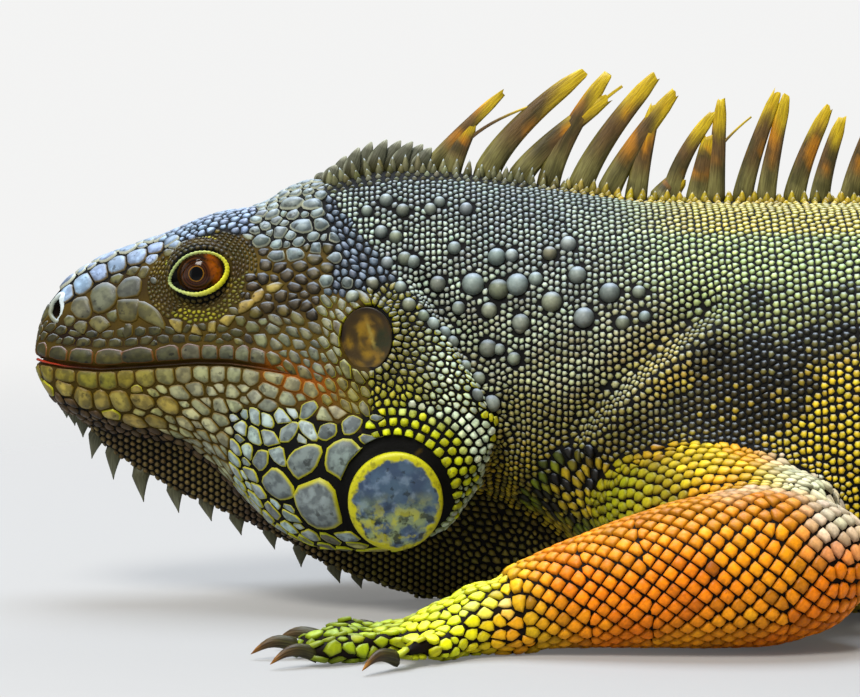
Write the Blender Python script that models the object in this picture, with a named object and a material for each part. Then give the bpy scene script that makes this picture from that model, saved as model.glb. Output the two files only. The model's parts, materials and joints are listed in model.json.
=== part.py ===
# Life-size green iguana, adult male, lying on its belly with the head raised, the left forearm
# flat on the floor and the tail laid out behind. Head towards -X, left side towards -Y, +Z up.
# All numbers are millimetres until to_metres() scales them. Heights are above the floor.

from collections import namedtuple
from math import cos, pi, radians, sin

import bmesh
import bpy
import numpy as np
from mathutils import Matrix, Vector

MM = 0.001
GAP = 0.3  # clearance between neighbouring pieces

HEAD_LENGTH = 111.0  # snout to the rear fold of the cheek, measured at the mouth line
NECK_END = 150.0
TRUNK_END = 450.0
TOTAL_LENGTH = 1352.0
FLOOR_BITE = 2.0  # how far the belly and tail would sink, which sets the width of their flats

EYE_RADIUS = 8.2
EYE_CENTRE = (43.0, 12.8, 82.2)
EAR_SIZE = (6.3, 1.7, 7.6)  # half axes: length, thickness, height
EAR_CENTRE = (83.5, 29.6, 67.6)
EAR_YAW = 12.0
SHIELD_SIZE = (11.6, 2.4, 12.6)  # the large round scale on the jowl
SHIELD_CENTRE = (90.5, 36.3, 28.8)
SHIELD_YAW = -2.0
SHIELD_ROLL = -14.0

# Upper head: place along the mouth line, its height, height of the crown above it, half width,
# how much narrower the crown is, backward shear of the section.
HeadAt = namedtuple("HeadAt", "x level up half taper lean")
HEAD = [
    HeadAt(0.4, 60.9, 7.0, 4.0, 0.25, 0.00),
    HeadAt(4.0, 60.3, 15.6, 9.4, 0.28, 0.00),
    HeadAt(10.0, 59.5, 22.6, 12.6, 0.33, 0.00),
    HeadAt(20.0, 59.1, 29.2, 15.6, 0.38, 0.00),
    HeadAt(29.0, 59.9, 30.8, 18.2, 0.28, 0.00),
    HeadAt(40.0, 61.0, 34.2, 21.4, 0.12, 0.00),
    HeadAt(48.0, 61.2, 37.0, 23.2, 0.13, 0.00),
    HeadAt(57.0, 60.4, 37.9, 25.4, 0.26, 0.00),
    HeadAt(66.0, 59.0, 43.4, 28.4, 0.40, 0.12),
    HeadAt(80.0, 56.5, 46.6, 31.8, 0.46, 0.38),
    HeadAt(95.0, 55.0, 49.2, 33.8, 0.50, 0.62),
    HeadAt(HEAD_LENGTH, 55.0, 51.0, 33.4, 0.52, 0.80),
]
# Lower jaw and jowl, below the same line: depth, half width at the line, swelling of the jowl,
# hollow under the throat, backward shear.
JawAt = namedtuple("JawAt", "x down half bulge cleft lean")
JAW = [
    JawAt(0.4, 3.5, 3.6, 0.0, 0.0, 0.00),
    JawAt(4.0, 9.5, 8.8, 0.0, 0.0, 0.00),
    JawAt(10.0, 13.5, 11.9, 0.0, 0.0, 0.00),
    JawAt(20.0, 16.5, 15.0, 0.0, 0.0, 0.00),
    JawAt(30.0, 18.5, 17.7, 0.2, 0.0, 0.00),
    JawAt(40.0, 22.5, 20.1, 0.8, 0.0, 0.00),
    JawAt(48.0, 30.0, 22.3, 2.0, 1.0, 0.00),
    JawAt(57.0, 42.0, 24.9, 4.4, 5.0, 0.00),
    JawAt(68.0, 47.5, 28.4, 6.2, 10.0, 0.00),
    JawAt(82.0, 46.4, 31.4, 6.4, 13.0, 0.00),
    JawAt(93.0, 44.6, 32.8, 5.4, 13.0, 0.00),
    JawAt(100.0, 41.0, 33.0, 4.6, 11.0, 0.03),
    JawAt(106.0, 29.0, 33.0, 3.4, 6.0, 0.22),
    JawAt(HEAD_LENGTH, 11.5, 32.8, 1.4, 0.0, 0.60),
]
# Neck and trunk: place, height of the widest line, reach above and below it, half width, how much
# narrower the back is, forward shear of the upper half.
BodyAt = namedtuple("BodyAt", "x level up down half taper lean")
BODY = [
    BodyAt(HEAD_LENGTH, 55.0, 50.6, 27.0, 29.6, 0.42, 0.80),
    BodyAt(123.0, 54.0, 56.2, 30.0, 31.0, 0.42, 0.54),
    BodyAt(137.0, 51.0, 54.6, 38.0, 37.5, 0.32, 0.22),
    BodyAt(NECK_END, 47.0, 54.4, 43.5, 45.5, 0.26, 0.00),
    BodyAt(172.0, 43.0, 57.8, 43.6, 53.0, 0.18, 0.00),
    BodyAt(200.0, 40.0, 60.6, 42.0, 58.0, 0.13, 0.00),
    BodyAt(250.0, 38.0, 62.4, 40.0, 64.5, 0.10, 0.00),
    BodyAt(300.0, 36.0, 62.4, 38.0, 66.5, 0.10, 0.00),
    BodyAt(350.0, 34.0, 60.4, 36.0, 62.0, 0.12, 0.00),
    BodyAt(395.0, 32.0, 54.6, 34.0, 50.0, 0.16, 0.00),
    BodyAt(428.0, 30.0, 46.4, 32.0, 37.5, 0.20, 0.00),
    BodyAt(TRUNK_END, 28.5, 40.0, 30.5, 29.5, 0.22, 0.00),
]
BODY_STEPS = 5  # points from the widest line to the back, and to the belly
# Tail: distance behind the snout, height, half width.
TailAt = namedtuple("TailAt", "x top half")
TAIL = [
    TailAt(TRUNK_END, 68.5, 29.5),
    TailAt(490.0, 57.0, 24.6),
    TailAt(550.0, 47.0, 20.0),
    TailAt(650.0, 37.5, 15.6),
    TailAt(800.0, 28.0, 11.4),
    TailAt(1000.0, 18.5, 7.4),
    TailAt(1200.0, 10.4, 4.1),
    TailAt(TOTAL_LENGTH, 3.6, 1.4),
]
TAIL_CUTS = [TRUNK_END, 585.0, 750.0, 935.0, 1140.0, TOTAL_LENGTH]
TAIL_SWING = 26.0  # widest turn of the tail away from the body's line, degrees
TAIL_WAVE = 820.0  # length of one full bend of the tail

# Dewlap: place, height of its free edge, half thickness. Its top is buried in the throat.
DewlapAt = namedtuple("DewlapAt", "x edge top half")
DEWLAP = [
    DewlapAt(3.6, 52.5, 56.0, 1.2),
    DewlapAt(8.0, 45.0, 54.0, 2.6),
    DewlapAt(14.0, 39.7, 52.0, 3.6),
    DewlapAt(25.0, 32.4, 52.0, 4.6),
    DewlapAt(42.0, 23.0, 50.0, 5.6),
    DewlapAt(59.0, 16.4, 46.0, 6.4),
    DewlapAt(75.0, 7.4, 42.0, 7.0),
    DewlapAt(88.0, -0.6, 38.0, 7.6),
    DewlapAt(106.0, -1.5, 36.0, 8.4),
    DewlapAt(124.0, -1.5, 34.0, 9.4),
    DewlapAt(140.0, -1.0, 26.0, 10.0),
    DewlapAt(154.0, 4.0, 16.0, 8.0),
]
DEWLAP_SPIKES = 14
DEWLAP_SPIKE_START = 11.0
DEWLAP_SPIKE_PITCH = 4.9

# The tall crest spikes over the neck and shoulder: place of the base on the back line, how far
# the tip reaches back, and how high it stands above the base.
SpikeAt = namedtuple("SpikeAt", "x reach height")
TALL_SPIKES = [
    SpikeAt(98.5, 17.0, 20.5),
    SpikeAt(104.0, 4.5, 14.0),
    SpikeAt(112.5, 20.5, 29.5),
    SpikeAt(121.0, 18.5, 23.6),
    SpikeAt(128.0, 11.0, 28.0),
    SpikeAt(135.5, 14.5, 31.0),
    SpikeAt(142.5, 11.5, 27.5),
    SpikeAt(150.0, 5.5, 23.5),
    SpikeAt(158.5, 11.0, 21.0),
    SpikeAt(165.5, 4.5, 16.5),
    SpikeAt(170.0, 3.5, 25.0),
    SpikeAt(177.0, 9.0, 27.0),
    SpikeAt(183.0, 6.0, 26.5),
    SpikeAt(190.5, 9.0, 23.0),
    SpikeAt(196.5, 5.5, 19.5),
]
TALL_BASE = 6.0
BACK_SPIKE_PITCH = 8.6
BACK_SPIKE_HEIGHTS = (21.0, 7.0)  # first and last spike behind the tall ones
TAIL_SPIKE_PITCH = 14.0
TAIL_SPIKES_END = 860.0
NAPE_SCALES = 7
NAPE_PITCH = 3.3

SIDES = {"left": -1, "right": 1}
BACK = (1.0, 0.0, 0.0)  # from the snout towards the tail
Joint = namedtuple("Joint", "x y z r")  # a point on a limb's axis and the flesh's radius there

UPPER_ARM = {
    "left": [
        Joint(143, 14, 31, 9),
        Joint(150, 28, 30, 15.5),
        Joint(163, 48, 28, 17),
        Joint(186, 70, 24, 14.5),
    ],
    "right": [
        Joint(146, 14, 31, 9),
        Joint(154, 28, 30, 15.5),
        Joint(170, 49, 28, 17),
        Joint(198, 74, 24, 14.5),
    ],
}
FOREARM = {
    "left": [
        Joint(199, 76, 22, 4.5),
        Joint(196, 76.3, 22, 10.0),
        Joint(188, 77, 20, 15.6),
        Joint(174, 78, 18.6, 18.4),
        Joint(158, 79, 17.6, 17.6),
        Joint(142, 80, 15.0, 14.8),
        Joint(128, 80.5, 12.2, 12.0),
        Joint(118, 81, 10.0, 10.0),
    ],
    "right": [
        Joint(211, 82, 22, 4.5),
        Joint(208, 81, 22, 10.0),
        Joint(200, 79, 20, 15.6),
        Joint(187, 76, 18.6, 18.4),
        Joint(172, 72, 17.6, 17.6),
        Joint(157, 68, 15.0, 14.8),
        Joint(145, 65, 12.2, 12.0),
        Joint(136, 62, 10.0, 10.0),
    ],
}
THIGH = {
    "left": [
        Joint(420, 8, 34, 12),
        Joint(408, 30, 38, 21),
        Joint(384, 54, 39, 22.5),
        Joint(354, 81, 34, 16.5),
    ],
    "right": [
        Joint(420, 8, 34, 12),
        Joint(410, 31, 38, 21),
        Joint(389, 57, 39, 22.5),
        Joint(361, 85, 34, 16.5),
    ],
}
SHANK = {
    "left": [
        Joint(339, 82, 32, 5),
        Joint(342, 83, 31, 10.5),
        Joint(351, 86, 29, 15.0),
        Joint(366, 93, 24, 16.2),
        Joint(384, 101, 17.5, 12.8),
        Joint(402, 108, 11.6, 8.6),
        Joint(411, 111, 9.6, 7.6),
    ],
    "right": [
        Joint(346, 86, 32, 5),
        Joint(349, 87, 31, 10.5),
        Joint(358, 90, 29, 15.0),
        Joint(373, 97, 24, 16.2),
        Joint(391, 105, 17.5, 12.8),
        Joint(409, 111, 11.6, 8.6),
        Joint(418, 114, 9.6, 7.6),
    ],
}
LIMB_SIDES = 10
# Hands and feet: wrist or heel, heading in degrees outwards from straight ahead, palm length,
# half width, height; then each digit's turn outwards, length and place across the palm.
Digit = namedtuple("Digit", "turn length across back")
Foot = namedtuple("Foot", "x y heading palm half height radius claw digits")
HAND_DIGITS = [
    Digit(-32, 14, -0.78, 7),
    Digit(-13, 21, -0.40, 1),
    Digit(2, 26, 0.02, 0),
    Digit(17, 26, 0.42, 1),
    Digit(38, 19, 0.80, 8),
]
FOOT_DIGITS = [
    Digit(-34, 17, -0.80, 9),
    Digit(-16, 28, -0.44, 2),
    Digit(-3, 42, 0.00, 0),
    Digit(9, 58, 0.44, 1),
    Digit(48, 30, 0.80, 17),
]
HANDS = {
    "left": Foot(119, 81, 10, 26, 12.0, 17.5, 4.1, 9.0, HAND_DIGITS),
    "right": Foot(137, 62, -16, 26, 12.0, 17.5, 4.1, 9.0, HAND_DIGITS),
}
FEET = {
    "left": Foot(414, 112, 24, 34, 11.0, 16.0, 3.9, 10.0, FOOT_DIGITS),
    "right": Foot(421, 115, 23, 34, 11.0, 16.0, 3.9, 10.0, FOOT_DIGITS),
}

COLOURS = {
    "head": (0.26, 0.30, 0.27),
    "jaw": (0.45, 0.42, 0.20),
    "dewlap": (0.17, 0.10, 0.05),
    "neck": (0.24, 0.28, 0.24),
    "trunk": (0.36, 0.33, 0.10),
    "tail": (0.24, 0.22, 0.10),
    "arm": (0.62, 0.34, 0.07),
    "leg": (0.42, 0.34, 0.09),
    "hand": (0.44, 0.47, 0.10),
    "foot": (0.34, 0.34, 0.10),
    "claw": (0.05, 0.04, 0.03),
    "eye": (0.45, 0.20, 0.03),
    "ear": (0.42, 0.33, 0.12),
    "shield": (0.25, 0.31, 0.42),
}


def curve_through(stations, x):
    """The station at x, from smooth curves through the named ones that don't overshoot them."""
    rows = np.array(stations, float)
    at = rows[:, 0]
    step = np.diff(at)[:, None]
    slope = np.diff(rows, axis=0) / step
    product = slope[:-1] * slope[1:]
    safe = np.where(product > 0, slope[:-1] + slope[1:], 1.0)
    inner = np.where(product > 0, 2 * product / safe, 0.0)
    tangent = np.vstack([slope[:1], inner, slope[-1:]])
    i = int(np.clip(np.searchsorted(at, x) - 1, 0, len(at) - 2))
    width = step[i, 0]
    t = (x - at[i]) / width
    found = (
        rows[i] * (1 + 2 * t) * (1 - t) ** 2
        + tangent[i] * width * t * (1 - t) ** 2
        + rows[i + 1] * t * t * (3 - 2 * t)
        + tangent[i + 1] * width * t * t * (t - 1)
    )
    return type(stations[0])(*(float(v) for v in found))


def quarter(half, reach, power, steps):
    """(y, z) of a quarter of a rounded box, from its side to its top, both ends included."""
    angles = [pi / 2 * k / steps for k in range(steps + 1)]
    return [(half * cos(a) ** (2 / power), reach * sin(a) ** (2 / power)) for a in angles]


def crown(half, up, taper, lean, power, steps):
    """Upper half of a section, side to top: (shift along, y, z), narrower towards the top."""
    return [
        (-z * lean, y * (1 - taper * z / up), z)
        for y, z in quarter(half, up, power, steps)
    ]


def keel(half, down, bulge, cleft, lean, power, steps):
    """Lower half of a section, side to bottom, with the jowl's swelling and the throat's cleft."""
    found = []
    for y, z in quarter(half, down, power, steps):
        share = min(z / down, 1.0)
        wide = y + bulge * sin(pi * share**1.3)
        hollow = cleft * max(0.0, 1 - (wide / (0.62 * half)) ** 2) if share > 0.5 else 0.0
        found.append((z * lean, wide, hollow - z))
    return found


def both_sides(points):
    """Mirrors a half outline from side to middle into one from +Y over the middle to -Y."""
    return points + [(x, -y, z) for x, y, z in points[-2::-1]]


def lengthened(rings, first, last, grow):
    """A cutter's rings, with a copy of each end ring set outwards, along `first` and `last`."""
    if not grow:
        return rings
    before = [tuple(Vector(p) - Vector(first) * grow) for p in rings[0]]
    after = [tuple(Vector(p) + Vector(last) * grow) for p in rings[-1]]
    return [before, *rings, after]


def mesh_object(name, rings, colour, top=None):
    """Joins rings of equal count into one closed mesh.

    The same two triangles fill each gap between rings, so a cutter follows its piece exactly.
    An end is one flat face or, where `top` gives a ring's highest point, level strips."""
    bm = bmesh.new()
    rows = [[bm.verts.new(Vector(p) * MM) for p in ring] for ring in rings]
    count = len(rows[0])
    for one, two in zip(rows, rows[1:]):
        for k in range(count):
            after = (k + 1) % count
            bm.faces.new((one[k], one[after], two[after]))
            bm.faces.new((one[k], two[after], two[k]))
    for row in (rows[0], rows[-1]):
        if top is None:
            bm.faces.new(row)
            continue
        for k in range(-top, top):
            strip = (k, k + 1, 2 * top - k - 1, 2 * top - k)
            bm.faces.new(dict.fromkeys(row[corner % count] for corner in strip))
    face_outwards(bm)
    return finished(name, bm, colour)


def face_outwards(bm):
    bmesh.ops.triangulate(bm, faces=bm.faces[:])
    bmesh.ops.recalc_face_normals(bm, faces=bm.faces[:])
    if bm.calc_volume(signed=True) < 0:
        bmesh.ops.reverse_faces(bm, faces=bm.faces[:])


def material_of(colour):
    mat = bpy.data.materials.get(colour)
    if mat is None:
        mat = bpy.data.materials.new(colour)
        mat.use_nodes = True
        shader = mat.node_tree.nodes["Principled BSDF"]
        shader.inputs["Base Color"].default_value = (*COLOURS[colour], 1.0)
        shader.inputs["Roughness"].default_value = 0.2 if colour == "eye" else 0.55
        shader.inputs["Metallic"].default_value = 0.0
    return mat


def finished(name, bm, colour):
    mesh = bpy.data.meshes.new(name)
    bm.to_mesh(mesh)
    bm.free()
    mesh.shade_smooth()
    mesh.set_sharp_from_angle(angle=radians(50))
    obj = bpy.data.objects.new(name, mesh)
    bpy.context.scene.collection.objects.link(obj)
    obj.parent = bpy.data.objects["iguana"]
    if colour:
        mesh.materials.append(material_of(colour))
    else:
        obj.hide_render = True
        obj.display_type = "WIRE"
    return obj


def combine(obj, operation, other):
    modifier = obj.modifiers.new(f"{operation.lower()} {other.name}", "BOOLEAN")
    modifier.operation = operation
    modifier.object = other


def head_positions():
    """Places of the head's sections, closest together at the snout."""
    steps = 16
    start = HEAD[0].x
    return [start + (HEAD_LENGTH - start) * (k / steps) ** 1.3 for k in range(steps + 1)]


def make_head():
    rings = []
    for x in head_positions():
        at = curve_through(HEAD, x)
        upper = crown(at.half, at.up, at.taper, at.lean, 2.7, 6)
        rings.append([(x + dx, y, at.level + z) for dx, y, z in both_sides(upper)])
    return mesh_object("head", rings, "head")


def make_jaw(name, colour, grow=0.0):
    rings = []
    for x in head_positions():
        level = curve_through(HEAD, x).level - GAP + grow
        at = curve_through(JAW, x)
        half, down = at.half + grow, at.down + 2 * grow
        lower = keel(half, down, at.bulge, at.cleft, at.lean, 2.3 + 0.12 * at.bulge, 6)
        rings.append([(x + dx, y, level + z) for dx, y, z in both_sides(lower)])
    return mesh_object(name, lengthened(rings, BACK, BACK, grow), colour)


def body_ring(x, grow):
    at = curve_through(BODY, x)
    upper = crown(at.half + grow, at.up + grow, at.taper, at.lean, 2.4, BODY_STEPS)
    lower = keel(at.half + grow, at.down + grow, 0.0, 0.0, 0.0, 2.7, BODY_STEPS)
    outline = both_sides(upper)[:-1] + both_sides(lower)[::-1][:-1]
    floor = -grow
    return [(dx, y, max(at.level + z, floor)) for dx, y, z in outline]


def body_length(name, start, end, spacing, colour, grow=0.0):
    """A length of neck or trunk, with flat ends across the body."""
    count = max(2, round((end - start) / spacing))
    rings = []
    for k in range(count + 1):
        x = start + (end - start) * k / count
        rings.append([(x + dx, y, z) for dx, y, z in body_ring(x, grow)])
    return mesh_object(name, lengthened(rings, BACK, BACK, grow), colour, BODY_STEPS)


def tail_path():
    """The tail's line on the floor: for each millimetre, its place and heading."""
    x, y = TRUNK_END, 0.0
    found = []
    for step in range(int(TOTAL_LENGTH - TRUNK_END) + 2):
        along = step / TAIL_WAVE
        heading = radians(TAIL_SWING) * sin(2 * pi * along) * min(1.0, step / 120)
        found.append((x, y, heading))
        x += cos(heading)
        y += sin(heading)
    return found


def tail_ring(distance, path, shift=0.0):
    at = curve_through(TAIL, distance)
    bite = FLOOR_BITE * at.top / TAIL[0].top
    level = 0.42 * at.top
    upper = crown(at.half, at.top - level, 0.28, 0.0, 2.2, 3)
    lower = keel(at.half, level + bite, 0.0, 0.0, 0.0, 2.5, 3)
    outline = both_sides(upper)[:-1] + both_sides(lower)[::-1][:-1]
    cx, cy, heading = path[int(round(distance - TRUNK_END))]
    return [
        (
            cx + shift * cos(heading) - y * sin(heading),
            cy + shift * sin(heading) + y * cos(heading),
            max(level + z, 0.0),
        )
        for _, y, z in outline
    ]


def make_tail(path):
    lengths = []
    for number, (start, end) in enumerate(zip(TAIL_CUTS, TAIL_CUTS[1:]), 1):
        count = 5
        rings = [
            tail_ring(start + (end - start) * k / count, path, GAP * (k == 0))
            for k in range(count + 1)
        ]
        lengths.append(mesh_object(f"tail_{number}", rings, "tail"))
    return lengths


def spike_into(bm, base, along, up, size, reach, height, thick=0.4, shares=(0.0, 0.6)):
    """Adds one bent blade: size is its length at the base, which is sunk a little in the skin."""
    side = along.cross(up).normalized()
    sunk = 2.0
    rows = []
    for t in shares:
        centre = base - up * sunk * (t == 0) + along * reach * t**1.35 + up * height * t
        wide = size / 2 * (1 - t) ** 0.45
        flat = wide * thick
        rows.append(
            [centre - along * wide, centre - side * flat, centre + along * wide, centre + side * flat]
        )
    tip = bm.verts.new((base + along * reach + up * height) * MM)
    verts = [[bm.verts.new(p * MM) for p in row] for row in rows]
    for one, two in zip(verts, verts[1:]):
        for k in range(4):
            bm.faces.new((one[k], one[(k + 1) % 4], two[(k + 1) % 4], two[k]))
    for k in range(4):
        bm.faces.new((verts[-1][k], verts[-1][(k + 1) % 4], tip))
    bm.faces.new(verts[0])


def back_height(x):
    """(x, z) of the back line above the section that stands at x."""
    at = curve_through(BODY, x)
    return x - at.up * at.lean, at.level + at.up


def section_under(x):
    """The place of the neck or trunk section whose top is at x."""
    low, high = HEAD_LENGTH, TRUNK_END
    for _ in range(30):
        middle = (low + high) / 2
        if back_height(middle)[0] < x:
            low = middle
        else:
            high = middle
    return low


def crest_bases():
    """Every spike of the neck and trunk as (x, reach, height, base length)."""
    found = []
    nape_start = back_height(HEAD_LENGTH)[0] + 2.6
    for k in range(NAPE_SCALES):
        rise = 5.4 if 0 < k < NAPE_SCALES - 1 else 4.2
        found.append((nape_start + NAPE_PITCH * k, 3.2, rise, 0.94 * NAPE_PITCH))
    found += [(s.x, s.reach, s.height, TALL_BASE) for s in TALL_SPIKES]
    x = TALL_SPIKES[-1].x + BACK_SPIKE_PITCH
    first, last = BACK_SPIKE_HEIGHTS
    while x < TRUNK_END - 6:
        share = (x - 200) / (TRUNK_END - 200)
        height = first + (last - first) * share
        found.append((x, 0.30 * height, height, TALL_BASE * (1 - 0.25 * share)))
        x += BACK_SPIKE_PITCH
    return found


def add_crest(neck, trunk):
    """Joins the crest to the neck in front of the shoulder, and to the trunk behind it."""
    rows = {neck: bmesh.new(), trunk: bmesh.new()}
    for x, reach, height, size in crest_bases():
        z = back_height(section_under(x))[1]
        ahead = back_height(section_under(x + 2))[1]
        along = Vector((2, 0, ahead - z)).normalized()
        up = Vector((-along.z, 0, along.x))
        where = neck if x < NECK_END - TALL_BASE / 2 else trunk
        base = Vector((x, 0, z))
        if where is trunk:
            base.x = max(base.x, NECK_END + GAP + TALL_BASE / 2 + 0.4)
        shares = (0.0, 0.45, 0.85) if size == TALL_BASE else (0.0, 0.55)
        spike_into(rows[where], base, along, up, size, reach, height, 0.4, shares)
    for obj, bm in rows.items():
        join_row(obj, bm, "crest")


def join_row(obj, bm, what):
    face_outwards(bm)
    combine(obj, "UNION", finished(f"{what}_of_{obj.name}", bm, None))
    obj.modifiers[-1].use_self = True  # neighbouring spikes lean across each other


def add_tail_crest(lengths, path):
    """Low spikes along the top of the tail, joined to each of its first lengths."""
    rows = [bmesh.new() for _ in lengths]
    distance = TRUNK_END + 6
    while distance < TAIL_SPIKES_END:
        at = curve_through(TAIL, distance)
        cx, cy, heading = path[int(round(distance - TRUNK_END))]
        along = Vector((cos(heading), sin(heading), 0))
        number = sum(distance >= cut for cut in TAIL_CUTS[1:-1])
        clear = min(abs(distance - cut) for cut in TAIL_CUTS)
        if clear > 3.0:
            height = 6.0 - 3.4 * (distance - TRUNK_END) / (TAIL_SPIKES_END - TRUNK_END)
            base = Vector((cx, cy, at.top))
            up = Vector((0, 0, 1))
            spike_into(rows[number], base, along, up, 4.2, 0.5 * height, height, 0.4, (0.0,))
        distance += TAIL_SPIKE_PITCH
    for obj, bm in zip(lengths, rows):
        if len(bm.verts):
            join_row(obj, bm, "crest")
        else:
            bm.free()


def dewlap_ring(at):
    """A tall thin section, rounded at the free edge and widest where it meets the throat."""
    rings = []
    height = at.top - at.edge
    for share, wide in ((0.0, 0.18), (0.08, 0.5), (0.3, 0.8), (0.65, 1.0), (1.0, 1.0)):
        rings.append((at.half * wide, at.edge + height * share))
    right = [(at.x, y, max(z, 0.0)) for y, z in rings]
    return right + [(x, -y, z) for x, y, z in right[::-1]]


def make_dewlap():
    count = 10
    start, end = DEWLAP[0].x, DEWLAP[-1].x
    rings = []
    for k in range(count + 1):
        rings.append(dewlap_ring(curve_through(DEWLAP, start + (end - start) * k / count)))
    dewlap = mesh_object("dewlap", rings, "dewlap")
    bm = bmesh.new()
    for k in range(DEWLAP_SPIKES):
        x = DEWLAP_SPIKE_START + DEWLAP_SPIKE_PITCH * k
        at = curve_through(DEWLAP, x)
        ahead = curve_through(DEWLAP, x + 1.5)
        along = Vector((1.5, 0, ahead.edge - at.edge)).normalized()
        up = Vector((along.z, 0, -along.x))
        long = 6.4 - 0.14 * k
        base = Vector((x, 0, at.edge))
        spike_into(bm, base, along, up, 3.0, 0.3 * long, long, 0.62, (0.0,))
    join_row(dewlap, bm, "spikes")
    return dewlap


def limb_rings(points, sign, grow=0.0):
    """Rings round a limb's bent axis, flat where they meet the floor."""
    stations = [Joint(p.x, p.y * sign, p.z, p.r + grow) for p in points]
    centres = [Vector((p.x, p.y, p.z)) for p in stations]
    rings = []
    for i, p in enumerate(stations):
        before = centres[max(i - 1, 0)]
        after = centres[min(i + 1, len(centres) - 1)]
        along = (after - before).normalized()
        across = along.cross(Vector((0, 0, 1))).normalized()
        up = across.cross(along)
        ring = []
        for k in range(LIMB_SIDES):
            a = 2 * pi * k / LIMB_SIDES
            point = centres[i] + across * p.r * cos(a) + up * p.r * sin(a)
            point.z = max(point.z, -grow)
            ring.append(tuple(point))
        rings.append(ring)
    first = (centres[1] - centres[0]).normalized()
    last = (centres[-1] - centres[-2]).normalized()
    return lengthened(rings, first, last, grow)


def refined(points, count):
    """More stations along a limb, on smooth curves through the named ones."""
    numbered = [(k, *p) for k, p in enumerate(points)]
    Numbered = namedtuple("Numbered", "k x y z r")
    rows = [Numbered(*row) for row in numbered]
    found = []
    for k in range(count):
        at = curve_through(rows, (len(points) - 1) * k / (count - 1))
        found.append(Joint(at.x, at.y, at.z, at.r))
    return found


def palm_rings(foot, sign, grow=0.0):
    """A low, rounded pad from the wrist to the knuckles, flat on the floor."""
    heading = radians(foot.heading)
    ahead = Vector((-cos(heading), sign * sin(heading), 0))
    across = Vector((-sin(heading) * sign, -cos(heading), 0)) * -1
    wrist = Vector((foot.x, foot.y * sign, 0))
    rings = []
    shape = (
        (-0.10, 0.62, 0.92),
        (0.0, 0.80, 1.00),
        (0.3, 0.84, 0.96),
        (0.65, 1.00, 0.84),
        (1.0, 0.90, 0.58),
    )
    for share, wide, high in shape:
        centre = wrist + ahead * foot.palm * share
        half = foot.half * wide + grow
        top = foot.height * high + grow
        ring = []
        for k in range(8):
            a = 2 * pi * (k + 0.5) / 8
            z = top * (0.42 + 0.58 * sin(a)) if sin(a) > -0.6 else 0.0
            point = centre + across * half * cos(a)
            point.z = max(z, 0.0) - grow * (sin(a) <= -0.6)
            ring.append(tuple(point))
        rings.append(ring)
    return lengthened(rings, ahead, ahead, grow)


def digit_line(foot, digit, sign):
    """The digit's root, direction and the point where its claw begins."""
    heading = radians(foot.heading)
    ahead = Vector((-cos(heading), sign * sin(heading), 0))
    outward = Vector((sin(heading), sign * cos(heading), 0))
    root = Vector((foot.x, foot.y * sign, 0)) + ahead * (foot.palm - digit.back)
    root += outward * foot.half * digit.across
    turn = radians(foot.heading + digit.turn)
    direction = Vector((-cos(turn), sign * sin(turn), 0))
    return root, direction


def make_digit(name, foot, digit, sign):
    """A jointed finger or toe, resting on the floor and hidden inside the palm at its root."""
    root, direction = digit_line(foot, digit, sign)
    across = direction.cross(Vector((0, 0, 1)))
    shape = (
        (-0.30, 0.92, 1.10),
        (0.15, 1.05, 1.25),
        (0.70, 0.94, 1.06),
        (1.00, 0.66, 0.74),
    )
    rings = []
    for share, wide, high in shape:
        along = max(share * digit.length, -4.0)
        centre = root + direction * along
        ring = []
        for k in range(6):
            a = 2 * pi * (k + 0.5) / 6
            point = centre + across * foot.radius * wide * cos(a)
            point.z = max(foot.radius * high * (0.82 + sin(a)), 0.0)
            ring.append(tuple(point))
        rings.append(ring)
    return mesh_object(name, rings, None)


def make_claw(name, foot, digit, sign):
    """A hooked claw ahead of the digit's end, its point just above the floor."""
    root, direction = digit_line(foot, digit, sign)
    across = direction.cross(Vector((0, 0, 1)))
    start = root + direction * (digit.length + GAP)
    size = foot.radius * 0.6
    rings = []
    for t in (0.0, 0.5, 1.0):
        centre = start + direction * foot.claw * sin(t * 1.35) / sin(1.35)
        centre.z = foot.radius * 0.62 + 1.9 * sin(t * pi * 0.9) - foot.radius * 0.45 * t * t
        wide = size * (1 - t) ** 0.8 + 0.18
        ring = []
        for k in range(5):
            a = 2 * pi * (k + 0.25) / 5
            point = centre + across * wide * 0.8 * cos(a)
            point.z = max(point.z + wide * 1.15 * sin(a), 0.05)
            ring.append(tuple(point))
        rings.append(ring)
    return mesh_object(name, rings, "claw")


def make_foot(kind, side, foot):
    """Palm and digits joined into one piece, then the claws beside them."""
    sign = SIDES[side]
    colour = kind
    palm = mesh_object(f"{kind}_{side}", palm_rings(foot, sign), colour)
    for number, digit in enumerate(foot.digits, 1):
        combine(palm, "UNION", make_digit(f"{kind}_{side}_digit_{number}", foot, digit, sign))
        make_claw(f"{kind}_{side}_claw_{number}", foot, digit, sign)
    return palm


def make_leg(side, upper, lower, foot, names, colour, bodies):
    """Upper and lower leg. Each is cut back to the piece that it meets."""
    sign = SIDES[side]
    upper_name, lower_name, foot_name = names
    above = mesh_object(f"{upper_name}_{side}", limb_rings(refined(upper, 5), sign), colour)
    below = mesh_object(f"{lower_name}_{side}", limb_rings(refined(lower, 8), sign), colour)
    foot_cut = mesh_object(f"{foot_name}_{side}_cut", palm_rings(foot, sign, GAP), None)
    lower_cut = mesh_object(
        f"{lower_name}_{side}_cut", limb_rings(refined(lower, 8), sign, GAP), None
    )
    combine(below, "DIFFERENCE", foot_cut)
    combine(above, "DIFFERENCE", lower_cut)
    for body in bodies:
        combine(above, "DIFFERENCE", body)
    make_foot(foot_name, side, foot)


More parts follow.
